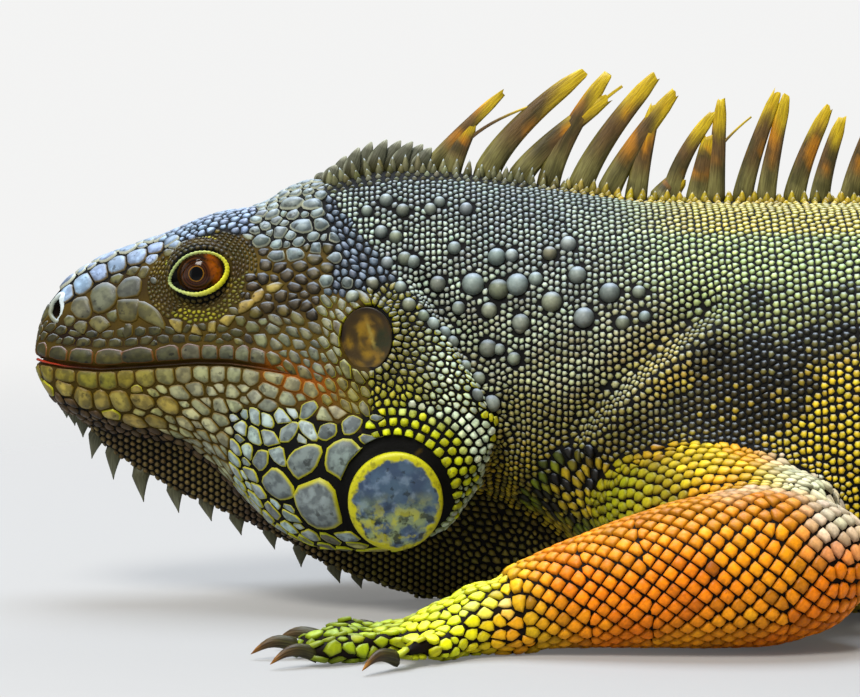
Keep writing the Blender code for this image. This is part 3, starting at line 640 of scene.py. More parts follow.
# zones of the head, each with the size, shape, direction and paint of its scales
def zones():
    # later zones lie over earlier ones; angle is how far the scales point down from level
    def line(x):
        return between(mouth["line"], x)

    rows = [
        ("cheek", 2.8, 1.75, 32, 0.24, 0.14, "stone", "ochre", lambda x, y, z: x > -9),
        ("cheekRear", 2.6, 1.95, 38, 0.24, 0.15, "stone", "ochre", lambda x, y, z: (x > 62) & (z > 44)),
        ("snoutSide", 4.2, 1.1, -20, 0.14, 0.12, "lichen", "ochre",
         lambda x, y, z: (x < 38) & (z > line(x) + 8)),
        ("snoutTop", 4.3, 1.05, -30, 0.30, 0.20, "sky", "cream",
         lambda x, y, z: (x < 38) & (z > 70 + 0.52 * x)),
        ("brow", 2.2, 1.1, -10, 0.3, 0.30, "sky", "slate",
         lambda x, y, z: (x > 32) & (x < 60) & (z > 90 + 0.1 * (x - 34))),
        ("temple", 3.1, 1.2, 10, 0.16, 0.18, "olive", "umber",
         lambda x, y, z: (x > 53) & (x < 80) & (z > 73) & (z < 91)),
        # the crown's cream rims are a painted highlight on the edges of its raised scales
        ("crown", 2.7, 1.2, -15, 0.30, 0.34, "pebble", "cream", lambda x, y, z: (x > 55) & (z > 89)),
        ("nape", 1.9, 1.3, 70, 0.35, 0.30, "slate", "slate", lambda x, y, z: (x > 74) & (z > 74)),
        ("lid", 1.15, 1.2, 0, 0.18, 0.28, "olive", "umber",
         lambda x, y, z: eyeSpread(np.stack([x, y, z], -1)) < 12.0),
        ("jaw", 3.3, 1.6, 20, 0.28, 0.15, "sand", "ochre", lambda x, y, z: z < line(x) - 0.4),
        ("chin", 4.0, 1.1, 15, 0.28, 0.14, "tan", "lemon", lambda x, y, z: (z < line(x) - 0.4) & (x < 27)),
        ("jowlFront", 3.5, 1.5, 36, 0.38, 0.15, "pebble", "lemon",
         lambda x, y, z: (x > 50) & (z < 50) & (z < 74 - 0.35 * x)),
        ("jowlLow", 2.6, 2.1, 18, 0.5, 0.18, "stone", "yellow", lambda x, y, z: (x > 56) & (z < 19)),
        ("jowlRear", 2.0, 1.1, 80, 0.36, 0.32, "mist", "sage", lambda x, y, z: (x > 97) & (z < 58)),
        ("earRear", 1.65, 1.35, 20, 0.42, 0.32, "sand", "lemon",
         lambda x, y, z: (x > 84) & (z > 50) & (z <= 80)),
        ("earFront", 2.3, 2.1, 52, 0.28, 0.2, "sand", "lemon",
         lambda x, y, z: (x > 72) & (x <= 84) & (z > 50) & (z < 78)),
        ("shieldTop", 2.3, 1.1, 5, 0.62, 0.24, "lemon", "yellow",
         lambda x, y, z: (x > 82) & (z > 41) & (z <= 50)),
        ("throat", 2.6, 1.3, 25, 0.4, 0.25, "brown", "brown",
         lambda x, y, z: (np.abs(y) < 9) & (z < line(x) - 8) & (x < 60)),
        ("lipHex", 2.2, 1.8, 0, 0.2, 0.12, "moss", "ochre",
         lambda x, y, z: (z > line(x) + 4.9) & (z < line(x) + 9) & (x < 52)),
        ("upperLip", 4.6, 1.35, 0, 0.14, 0.09, "moss", "rust",
         lambda x, y, z: (z > line(x)) & (z <= line(x) + 4.9) & (x < 60)),
        ("lowerLip", 4.4, 1.2, 0, 0.18, 0.09, "olive", "ochre",
         lambda x, y, z: (z <= line(x)) & (z > line(x) - 4.8) & (x < 60)),
    ]
    keys = ("name", "size", "aspect", "angle", "groove", "rise", "tint", "rim", "where")
    return [dict(zip(keys, row)) for row in rows]


headZones = zones()
zoneNames = np.array([zone["name"] for zone in headZones])


def zoneOf(points):
    number = np.zeros(len(points), int)
    for k, zone in enumerate(headZones):
        number[zone["where"](*points.T)] = k
    return number


def rustyCorner(x, z, height, wide, *fade):
    # the wash behind the corner of the mouth
    return np.exp(-((z - height + 0.25 * (x - 60)) / wide) ** 2) * ease(54, 62, x) * (1 - ease(*fade, x))


def zonePaint(points):
    # tint and rim of the head's scales, with the washes that run across the zones
    number = zoneOf(points)
    tint, rim = (np.array([colour(zone[key]) for zone in headZones])[number] for key in ("tint", "rim"))
    x, z, names = points[:, 0], points[:, 2], zoneNames[number]
    cheeks = ("cheek", "cheekRear")
    for chosen, tone, share in (
            (("snoutSide",), "stone", 0.5 * cloudy(0.5, 0.8, points, 5, 2)),
            (("jaw", "lowerLip"), "stone", 0.8 * ease(24, 48, x)),
            (("jaw",), "slate", 0.5 * cloudy(0.5, 0.8, points, 7, 6) * ease(20, 50, x)),
            (("upperLip",), "stone", 0.6 * ease(26, 46, x)),
            ((*cheeks, "earFront"), "slate", 0.35 * cloudy(0.35, 0.75, points, 8)),
            (cheeks, "olive", 0.7 * cloudy(0.45, 0.75, points, 6, 5)),
            ((*cheeks, "temple"), "umber", 0.8 * grit(points, 0.09)),
            (("temple",), "bark", 0.6 + 0.4 * cloudy(0.35, 0.6, points, 6, 2)),
            ((*cheeks, "snoutSide", "temple"), None, (0.85, 0.82, 0.60)), (("jaw", "jowlFront"), None, 1.8),
            (("lowerLip",), None, 1.5), (("earRear",), "lemon", 0.8 * ease(62, 51, z) * ease(102, 96, x)),
            (("earRear",), "mist", ease(94, 103, x)),
            (("jowlLow",), "lemon", 0.5 * cloudy(0.4, 0.7, points, 5, 3)),
            (("lid",), "lemon", 0.35 * cloudy(0.4, 0.8, points, 3, 1))):
        # a wash of paint, or the tint made stronger
        changed = blend(tint, colour(tone), share) if tone else tint * share
        tint = np.where(np.isin(names, chosen)[:, None], changed, tint)
    rust = rustyCorner(x, z, 58.5, 3.2, 74, 84)
    return washed(tint, ("ochre", 0.45 * rust)), washed(rim, ("amber", 0.6, 0.9 * rust))


def groovePaint(points, owner):
    # the skin between the scales
    x, z, names, gap = points[:, 0], points[:, 2], zoneNames[zoneOf(points)], mouthGap(points)
    base = blend(colour("black"), colour("soot"), ripple(points, 9))
    base = np.where(np.isin(owner, owned("upper_arm", "forearm", "hand"))[:, None],
                    colour("umber") * 0.35, base)
    tint = blend(colour("umber") * 0.7, colour("ochre") * 0.65, ripple(points, 6))
    for chosen, tone, strength in ((("lid",), "ochre", 0.30), (("upperLip",), "ochre", 0.40),
                                   (("lowerLip", "jaw", "chin"), "ochre", 0.35),
                                   (("jowlFront", "jowlLow", "jowlRear", "shieldTop", "earRear", "throat"),
                                    "black", 1),
                                   (("crown", "nape", "brow", "snoutTop"), "soot", 1)):
        tint = np.where(np.isin(names, chosen)[:, None], colour(tone) * strength, tint)
    tint = washed(tint, ("lipRed", 0.6, 0.9 * np.exp(-(gap / 0.40) ** 2) * ease(24, 8, x)),
                  ("rust", 0.25, 0.9 * np.exp(-(gap / 0.35) ** 2) * ease(74, 58, x)),
                  ("orange", 0.4, 0.8 * rustyCorner(x, z, 59.5, 4.0, 72, 80)))
    # painted shadow: the skin inside the eye's opening is black, for the shadow between the lids and the
    # eyeball
    tint = np.where((eyeSpread(points) < 7.4)[:, None], colour("black"), tint)
    spot = np.hypot((x - nostril["place"][0]) / 1.6, (z - nostril["place"][1]) / 2.6)
    tint = np.where(((spot < 1.0) & (x < 14))[:, None], colour("umber") * 0.5, tint)
    return np.where(np.isin(owner, owned(*headNodes))[:, None], tint, base)


# seeds: one for each scale
chance = np.random.default_rng(11)
seedBook = {key: [] for key in ("place", "up", "lie", "size", "aspect", "groove", "rise", "tint", "rim",
                                "owner", "piece", "pointed", "fixed")}
pieceNames = []


def laid(directions, ups):
    # directions turned flat to the skin
    directions = np.asarray(directions, float)
    return unit(directions - ups * (directions * ups).sum(1, keepdims=True))


def addSeeds(piece, found, lie, size, tint, rim, aspect=1.0, groove=0.4, rise=0.2, pointed=0.0, fixed=0):
    # the rim is a colour, or a share of the tint
    place, up, owner = found
    if piece not in pieceNames:
        pieceNames.append(piece)
    rows = dict(place=place, up=up, owner=owner, lie=laid(lie, up), size=size, tint=tint,
                aspect=aspect, groove=groove,
                rim=np.multiply(tint, rim) if np.ndim(rim) == 0 else rim, rise=rise, pointed=pointed,
                fixed=fixed, piece=pieceNames.index(piece))
    for key, value in rows.items():
        wide = key in ("place", "up", "lie", "tint", "rim")
        seedBook[key].append(np.broadcast_to(np.asarray(value, float), place.shape if wide else len(place)))


def treeOfPlaces(places):
    tree = KDTree(len(places))
    for k, p in enumerate(places):
        tree.insert(p, k)
    tree.balance()
    return tree


bodyRows = {
    # distance along the body with the pitch of the rows there, and their spacing round the body
    "pitch": [(60, 1.5), (110, 1.6), (135, 1.7), (160, 1.85), (205, 2.1), (245, 2.9), (450, 3.1), (600, 3.7),
              (900, 3.6), (1350, 2.2)],
    "across": [(60, 1.0), (150, 1.0), (230, 1.05), (450, 0.95), (520, 0.8), (1350, 0.7)],
    "stops": (0, 112, 135, 165, 205, 290, 375, 450, 1400),  # ends of the pieces
    "neck": dict(groove=0.26, rise=0.30, pointed=0.12),
    "trunk": dict(groove=0.26, rise=0.25, pointed=0.12),
    "tail": dict(groove=0.30, rise=0.20, pointed=0.35, aspect=1.15),
}


def onShoulder(points):
    # the black hollow before the arm, with a few golden plates
    x, y, z = points.T
    return (np.hypot((x - 131 - 0.3 * (z - 28)) / 11.0, (z - 28) / 15.0) < 1.0) & (np.abs(y) > 12)


def shoulderLook(points, owner):
    tint = blend(colour("gold") * 0.55, colour("fern") * 0.6, cloudy(0.3, 0.7, points, 7, 2))
    tint = washed(tint, ("soot", 0.95 * grit(points, 0.30)
                         + 0.6 * ease(30, 38, points[:, 2]) * grit(points, 0.62)))
    return dict(size=2.8, aspect=1.25, groove=0.55, rise=0.22, pointed=0.4, lie=(0.6, 0, -0.8), tint=tint,
                rim=tint * 0.6, keep=onShoulder(points))


def laidRing(ring, row, width, number=0):
    # places on a closed ring, every other row shifted by half a place, with their number and spacing
    ring = np.vstack([ring, ring[:1]])
    run = np.concatenate([[0], np.cumsum(np.linalg.norm(np.diff(ring, axis=0), axis=1))])
    if not number or not 0.84 < run[-1] / number / width < 1.16:
        number = max(8, int(round(run[-1] / width)))
    at = (np.arange(number) + 0.5 * (row % 2)) * run[-1] / number
    return np.stack([np.interp(at, run, ring[:, k]) for k in range(3)], -1), number, run[-1] / number


def bodySeeds():
    distance, row, rings, lies = spine["start"] + 1, 0, [], []
    angles = around(skinPlan["raysRound"], 0.5)[:, None]
    while distance < spine["end"] - 2:
        pitch = float(between(bodyRows["pitch"], distance))
        centre, forward, side = spineAt(distance)
        where = (distance - spine["start"]) / skinPlan["ringStep"]
        low = int(np.clip(math.floor(where), 0, len(tubeRadii) - 2))
        share = np.clip(where - low, 0, 1)
        radii = tubeRadii[low] * (1 - share) + tubeRadii[low + 1] * share
        ring = centre + radii[:, None] * (np.cos(angles) * side + np.sin(angles) * upward)
        rings.append(laidRing(ring, row, pitch * float(between(bodyRows["across"], distance)))[0])
        lies.append(np.repeat(forward[None], len(rings[-1]), 0))
        distance += pitch * 0.88
        row += 1
    places, lies = np.vstack(rings), np.vstack(lies)
    place, up, owner = onSkin(places)
    keep = (np.linalg.norm(place - places, axis=1) < 4.0) & np.isin(owner, owned(*bodyNodes))
    keep &= ~((np.abs(place[:, 1]) < 7.9) & (up[:, 2] > 0.2) & (place[:, 2] > 70)
              & (place[:, 0] < coneRows["end"]))
    place, lies = kept(keep & clearOfBeads(place) & ~onShoulder(place), place, lies)
    wander = 0.10 * between(bodyRows["pitch"], along(place))
    found = onSkin(place + chance.normal(size=place.shape) * wander[:, None])
    distance, tint = along(found[0]), bodyPaint(found[0], found[2])
    size = between(bodyRows["pitch"], distance)
    for first, last in zip(bodyRows["stops"], bodyRows["stops"][1:]):
        part = "neck" if last <= 135 else "tail" if first >= 450 else "trunk"
        for side in sides:
            mine = (distance >= first) & (distance < last) & ((found[0][:, 1] < 0) == (side == "left"))
            if mine.any():
                addSeeds(f"{part}_scales_{side}_{first}", kept(mine, *found), *kept(mine, lies, size, tint),
                         0.6, **bodyRows[part])


def limbAxis(name):
    # a limb's middle and the way it runs: upper parts from the body, lower parts to the hand or foot
    points = nodePoints(name)[0]
    middle = points.mean(0)
    stem, side = name.rsplit("_", 1)
    goal = {"upper_arm": middle - (middle[0], 0, 40), "thigh": middle - (middle[0], 0, 40),
            "shank": (1, 0, 0), "foot": (-1, 0.4 * sides[side], 0)}.get(stem, (-1, 0, 0))
    axis = np.linalg.svd(points - middle, full_matrices=False)[2][0]
    return middle, axis if axis @ goal > 0 else -axis


limbRows = {
    "upper_arm": dict(pitch=3.2, across=0.85, step=0.95, groove=0.26, rise=0.22, pointed=0.55),
    "forearm": dict(pitch=3.6, across=1.25, step=0.54, groove=0.16, rise=0.19, pointed=0.12),
    "thigh": dict(pitch=3.3, across=0.9, step=0.85, groove=0.4, rise=0.24, pointed=0.30),
    "shank": dict(pitch=3.3, across=0.95, step=0.85, groove=0.4, rise=0.24, pointed=0.2),
}


def limbSeeds(name):
    stem, side = name.rsplit("_", 1)
    plan, (middle, axis), (points, faces) = limbRows[stem], limbLines[name], nodePoints(name)
    tree, width = treeOf(points, faces), plan["pitch"] * plan["across"]
    share = (points - middle) @ axis
    across = unit(np.cross(axis, upward))
    angles = around(40)[:, None]
    rays = across * np.cos(angles) + np.cross(across, axis) * np.sin(angles)
    girth = 2.2 * math.pi * np.linalg.norm(points - middle - share[:, None] * axis, axis=1).mean()
    station, row, number, places, spacing = share.min() + 1.0, 0, max(8, int(round(girth / width))), [], []
    while station < share.max() - 0.5:
        centre = middle + axis * station
        ring, last = [], 4.0
        for ray in rays:
            hit = cast(tree, centre + ray * 60, -ray, 60)
            last = last if hit is None else (Vector(hit) - Vector(centre)).length
            ring.append(centre + ray * last)
        spots, number, gap = laidRing(ring, row, width, number)
        places.append(spots)
        spacing += [gap] * number
        station += plan["step"] * np.clip(gap, 1.8, 4.5)
        row += 1
    places = np.vstack(places)
    found = onSkin(places)
    keep = (np.linalg.norm(found[0] - places, axis=1) < 4.0) & (found[2] == fleshNodes.index(name))
    found = kept(keep, *found)
    size = np.clip(np.array(spacing)[keep], 2.0, 5.0) * (1.04 + 0.04 / plan["across"])
    addSeeds(f"{stem}_scales_{side}", found, axis[None], size, bodyPaint(found[0], found[2]), 0.6,
             min(1.0, plan["across"]) ** -0.5, plan["groove"], plan["rise"], plan["pointed"])


# the large plates of the head, on each side: place, size across, how much longer than wide,
# and how far they point down
headPlates = {
    "snout": [
        (8.6, 77.2, 3.6, 1.2, -40), (12.9, 79.6, 5.0, 1.1, -40), (16.9, 82.3, 4.9, 1.1, -35),
        (21.2, 84.2, 5.3, 1.1, -30), (26.2, 86.2, 5.0, 1.2, -25), (31.0, 88.4, 4.0, 1.1, -25),
        (12.9, 73.6, 4.6, 1.1, 80), (18.2, 76.3, 6.6, 1.15, -60), (24.6, 73.2, 5.6, 1.0, 0),
        (25.2, 79.0, 5.0, 1.2, -40), (31.2, 72.4, 5.2, 1.7, 48), (31.0, 80.5, 4.4, 1.5, 40),
        (17.6, 69.4, 4.0, 1.2, 0), (12.2, 68.4, 3.6, 1.1, 0), (24.0, 67.8, 3.9, 1.3, 0),
    ],
    "cheekBow": [
        (37.2, 69.6, 3.9, 1.4, 20), (41.9, 68.6, 3.9, 1.15, 10), (46.0, 69.4, 3.7, 1.1, -15),
        (49.6, 71.6, 3.3, 1.8, -38), (53.2, 74.6, 3.2, 1.7, -38), (56.9, 77.2, 3.1, 1.5, -30),
        (60.8, 79.2, 3.1, 1.4, -20),
    ],
    "knobs": [
        (64.6, 99.4, 3.9, 1.8, 4), (70.4, 99.2, 3.6, 1.4, 4), (67.7, 93.8, 3.6, 1.8, 2),
        (72.3, 94.6, 3.5, 1.4, 2), (62.1, 92.4, 3.5, 1.1, 0), (75.9, 86.5, 3.6, 1.0, 0),
        (57.4, 90.4, 3.6, 1.2, -20), (60.2, 96.6, 3.4, 1.2, -20), (75.2, 91.2, 3.4, 1.1, 20),
        (73.6, 81.0, 3.6, 1.0, 0), (78.6, 80.6, 3.3, 1.0, 0), (66.0, 87.2, 3.6, 1.2, 10),
        (61.2, 86.6, 3.5, 1.2, 0), (70.8, 88.6, 3.3, 1.2, 10),
    ],
    "jowl": [
        (71.6, 27.7, 13.6, 1.30, 82), (78.2, 38.5, 10.4, 1.12, -30), (68.2, 38.2, 7.6, 1.5, -38),
        (61.4, 32.0, 7.6, 1.3, 60), (84.9, 43.6, 5.2, 1.2, -10), (73.9, 45.5, 4.4, 1.35, -30),
        (79.9, 47.2, 4.2, 1.35, -20), (86.4, 48.6, 3.7, 1.3, -8), (64.6, 44.9, 4.4, 1.5, -34),
        (57.6, 37.8, 4.6, 1.5, -40), (69.6, 50.4, 4.0, 1.5, -26), (60.4, 25.0, 4.2, 1.4, 60),
    ],
    "chin": [
        (8.7, 54.0, 4.4, 1.2, 60), (13.3, 51.4, 5.3, 1.1, 70), (18.0, 50.6, 4.6, 1.2, 70),
        (22.6, 50.8, 5.0, 1.2, 30), (28.2, 51.0, 4.4, 1.5, 14), (34.6, 50.4, 4.2, 1.4, 12),
        (25.8, 45.8, 4.6, 1.3, 28), (31.4, 45.8, 4.4, 1.4, 24),
    ],
}
plateLooks = {
    "snout": dict(tint="lichen", rim="ochre", groove=0.14, rise=0.13),
    "cheekBow": dict(tint="tan", rim="ochre", groove=0.22, rise=0.18),
    # the knobs' cream rims are a painted highlight on their raised edges
    "knobs": dict(tint="pebble", rim="cream", groove=0.34, rise=0.40),
    "jowl": dict(tint="pebble", rim="lemon", groove=0.85, rise=0.09),
    "chin": dict(tint="tan", rim="ochre", groove=0.24, rise=0.13),
}
lipPlates = {
    "head": dict(x=(2.4, 7.0, 12.7, 19.9, 27.7, 34.9, 40.6, 45.2, 49.4, 53.2, 56.8), above=2.4, size=4.9),
    "jaw": dict(x=(3.4, 8.6, 14.4, 19.7, 24.1, 28.9, 34.1, 38.7, 43.0, 47.2, 51.2, 55.0), above=-2.7,
                size=4.7),
    "upperRows": ((6.2, 0.0), (8.3, 2.0)),  # height over the mouth and shift of the small rows
}


def onHead(x, z, sign):
    # the place on the head's side at this length and height
    hit = cast(skinTree, (x, sign * 60, z), (0, -sign, 0), 60)
    return np.array(skinTree.find_nearest(Vector((x, sign * 4, z)))[0]) if hit is None else hit


def onSide(xs, zs, sign):
    return onSkin([onHead(x, z, sign) for x, z in zip(xs, zs)])


def pointing(angle):
    # the way that points this far down from level, backwards
    turn = np.radians(angle)
    return np.stack([np.cos(turn), 0 * turn, -np.sin(turn)], -1)


def plateSeeds():
    for side, sign in sides.items():
        for kind, rows in headPlates.items():
            x, z, size, aspect, angle = np.array(rows, float).T
            found, look = onSide(x, z, sign), plateLooks[kind]
            tint = colour(look["tint"])
            # painted highlight: the snout's plates turn sky blue the more they face up
            if kind == "snout":
                tint = blend(zonePaint(found[0])[0], colour("sky"), ease(0.30, 0.62, found[1][:, 2]))
            addSeeds(f"{'jaw' if kind in ('jowl', 'chin') else 'head'}_plates_{side}", found, pointing(angle),
                     size, tint, colour(look["rim"]), aspect, look["groove"], look["rise"], fixed=1)
        rows = [(stem, np.array(lipPlates[stem]["x"]), lipPlates[stem]["above"],
                 lipPlates[stem]["size"], 0.16, 0.07)
                for stem in ("head", "jaw")]
        rows += [("head", np.arange(5.5 + shift, 50, 4.0), above, 2.2, 0.2, 0.12)
                 for above, shift in lipPlates["upperRows"]]
        for stem, xs, above, size, groove, rise in rows:
            found = onSide(xs, between(mouth["line"], xs) + above, sign)
            addSeeds(f"{stem}_plates_{side}", found, pointing(0 * xs), size, *zonePaint(found[0]),
                     1.85 if size < 3 else np.gradient(xs) / size, groove, rise, fixed=1)


jowlRows = {
    "reach": [1.33, 1.53, 1.72, 1.90, 2.07, 2.24, 2.40],  # of each row, as a share of the shield's half size
    "pitch": [2.9, 2.8, 2.6, 2.4, 2.2, 2.2, 2.2],
    "from": [-80, -80, -75, -70, -65, -60, -55],
    "to": [118, 112, 100, 84, 62, 50, 40],  # degrees up from straight behind the shield
}


def jowlSeeds():
    # squares and beads in curved rows behind and above the jowl's shield
    for side, sign in sides.items():
        for row, (reach, pitch, first, last) in enumerate(zip(*jowlRows.values())):
            half = np.array(shield["half"]) * reach
            step = math.degrees(pitch / half.mean())
            turn = np.radians(np.arange(first + 0.5 * step * (row % 2), last, step))
            xs = shield["centre"][0] + half[0] * np.cos(turn)
            zs = shield["centre"][2] + half[1] * np.sin(turn)
            inside = (lineDistance(np.stack([xs, 0 * xs, zs], -1), folds["jowl"][0])[0] < -0.6) | (xs < 96)
            xs, zs, turn = kept(inside, xs, zs, turn)
            found = onSide(xs, zs, sign)
            *found, turn = kept(np.isin(found[2], owned(*headNodes)) & (np.abs(found[0][:, 1]) > 20),
                                *found, turn)
            yellow = ease(3.2, 1.8, row + 1.6 * ease(0.3, -0.6, turn) + chance.normal(size=len(turn)) * 0.3)
            tint = blend(colour("mist") * (1.25 + 0.05 * row), colour("yellow") * 0.9, yellow)
            addSeeds(f"jaw_plates_{side}", found, pointing(-90 - np.degrees(turn)), pitch, tint, 0.8,
                     groove=0.62 - 0.05 * row, rise=0.24 + 0.02 * row, fixed=1)


def lidSeeds():
    # rings of small beads round each eye
    for side, sign in sides.items():
        centre, look, long, short = eyeFrame(sign)
        places, lies = [], []
        for ring in range(7):
            a, b = 8.6 + 0.84 * ring, 6.7 + 0.84 * ring
            angles = around(int(round(math.pi * (a + b) / 1.5)), 0.5 * (ring % 2))[:, None]
            u, v = a * np.cos(angles), b * np.sin(angles)
            reach = np.sqrt(np.maximum(eye["lidRadius"] ** 2 - u ** 2 - v ** 2, 4.0))
            places.append(centre + look * reach + long * u + short * v)
            lies.append(short * np.cos(angles) - long * np.sin(angles))
        places, lies = np.vstack(places), np.vstack(lies)
        found = onSkin(places)
        keep = (np.linalg.norm(found[0] - places, axis=1) < 3.0) & (mouthGap(found[0]) > 10)
        place, up, owner, lies = kept(keep, *found, lies)
        tint = blend(colour("olive") * 0.6, colour("brown") * 0.9, ripple(place, 3))
        tint = washed(tint, ("gold", 0.6, 0.4 * cloudy(0.5, 0.9, place, 2, 4)))
        # painted shade: lid beads are made darker the more they face up
        tint *= 1 - 0.55 * ease(0.1, 0.6, up[:, 2:])
        addSeeds(f"lid_scales_{side}", (place, up, owner), lies, 0.98, tint, 0.5, 1.5, 0.17, 0.30, fixed=1)


dewlapRows = {"slope": 31.0, "pitch": 1.75, "rowStep": 1.55}  # the slope is in degrees down from level


def dewlapSeeds():
    turn = math.radians(dewlapRows["slope"])
    run, fall = np.array([math.cos(turn), -math.sin(turn)]), np.array([math.sin(turn), math.cos(turn)])
    steps = np.arange(-10, 70)[:, None]
    spots = np.vstack([np.array([5, 46]) + (steps + 0.5 * (row % 2)) * dewlapRows["pitch"] * run
                       - row * dewlapRows["rowStep"] * fall for row in range(-14, 30)])
    for side, sign in sides.items():
        hits = [cast(skinTree, (x, sign * 60, z), (0, -sign, 0), 60) for x, z in spots]
        found = onSkin([hit for hit in hits if hit is not None])
        found = kept((found[2] == fleshNodes.index("dewlap")) & (np.abs(found[1][:, 1]) > 0.45), *found)
        addSeeds(f"dewlap_scales_{side}", found, [(run[0], 0, run[1])], 1.75, dewlapPaint(found[0]), 0.5,
                 groove=0.30, rise=0.34, pointed=0.25)


# the raised beads on the side of the neck: place in side view and radius
tubercles = [
    (104.7, 88.8, 1.5), (115.0, 86.7, 2.0), (118.6, 87.1, 1.5), (109.2, 80.2, 2.5), (115.4, 79.0, 2.3),
    (119.9, 80.2, 2.5), (124.3, 81.6, 1.6), (128.1, 76.2, 2.3), (120.7, 71.1, 2.0), (127.8, 87.6, 1.6),
    (132.3, 89.8, 1.8), (134.3, 82.6, 2.0), (135.7, 72.6, 2.3), (141.9, 78.5, 2.3), (148.8, 78.8, 1.5),
    (150.0, 73.1, 1.3), (144.8, 71.6, 1.6), (113.1, 74.0, 1.8), (105.7, 74.5, 1.5), (112.8, 64.9, 2.0),
    (119.0, 62.5, 1.5), (113.6, 51.7, 1.9), (107.3, 60.8, 1.3), (110.5, 57.7, 1.5), (110.2, 54.1, 1.5),
    (100.7, 80.2, 1.8), (94.7, 85.5, 1.5), (90.4, 91.4, 1.5), (86.8, 92.6, 1.5), (92.1, 97.8, 1.5),
    (98.8, 98.1, 1.4), (88.0, 100.2, 1.5), (83.3, 97.6, 1.3), (92.6, 86.2, 1.6), (88.3, 85.2, 1.4),
    (84.7, 80.2, 1.6), (80.1, 77.1, 1.6), (91.6, 79.5, 1.4), (93.7, 75.4, 1.6), (97.3, 72.8, 1.4),
    (99.5, 70.9, 1.5), (102.3, 68.7, 1.4), (104.2, 66.4, 1.4), (107.6, 98.1, 1.5), (101.1, 99.8, 1.3),
    (120.5, 69.9, 1.3), (115.5, 64.7, 1.3),
]
beadPlaces = []


def clearOfBeads(places):
    clear = np.ones(len(places), bool)
    for spot, radius in beadPlaces:
        clear &= np.linalg.norm(places - spot, axis=1) > radius + 0.75
    return clear


def tubercleSeeds():
    x, z, radius = np.array(tubercles).T
    for side, sign in sides.items():
        found = onSide(x, z, sign)
        beadPlaces.extend(zip(found[0], radius))
        tint = blend(colour("stone") * 1.1, colour("pebble") * 1.15, chance.uniform(0, 1, len(x)))
        addSeeds(f"tubercles_{side}", found, pointing(0 * x), radius * 2.3, tint, 0.4, groove=0.0,
                 rise=np.where(z > 84, 0.56, 0.44), fixed=2)


coneRows = {
    # distance from the middle line, pitch, size and height share of the small cones below the crest
    "rows": [(1.5, 3.1, 3.6, 1.05), (3.9, 2.7, 3.0, 0.75), (5.9, 2.4, 2.4, 0.45), (7.4, 2.2, 2.2, 0.35)],
    "start": 74.0,
    "end": 226.0,
}


def coneSeeds():
    for side, sign in sides.items():
        for number, (offset, pitch, size, height) in enumerate(coneRows["rows"]):
            xs = np.arange(coneRows["start"] + 0.5 * pitch * (number % 2), coneRows["end"], pitch)
            found = onSkin([cast(skinTree, (x, sign * offset, 160), (0, 0, -1), 160) for x in xs])
            rear = ease(120, 150, xs)
            tint = blend(colour("stone") * 0.9, colour("gold") * 0.75, rear)
            tint = washed(tint, ("moss", 0.6 * grit(found[0], 0.30) * (1 - 0.6 * rear)),
                          ("olive", 1.1, 0.35 * np.full(len(xs), number < 2)))
            rise = height * (1 - 0.35 * rear) * chance.uniform(0.8, 1.2, len(xs))
            for part, mine in (("neck", xs < 135), ("trunk", xs >= 135)):
                addSeeds(f"{part}_cones_{side}", kept(mine, *found), [(1, 0, 0)], size, tint[mine], 0.4,
                         groove=0.25, rise=rise[mine], fixed=1)


def styled(look, points, owner):
    # a look's values for every point
    return {key: np.broadcast_to(value, points.shape if key in ("lie", "tint", "rim") else len(points))
            for key, value in look(points, owner).items()}


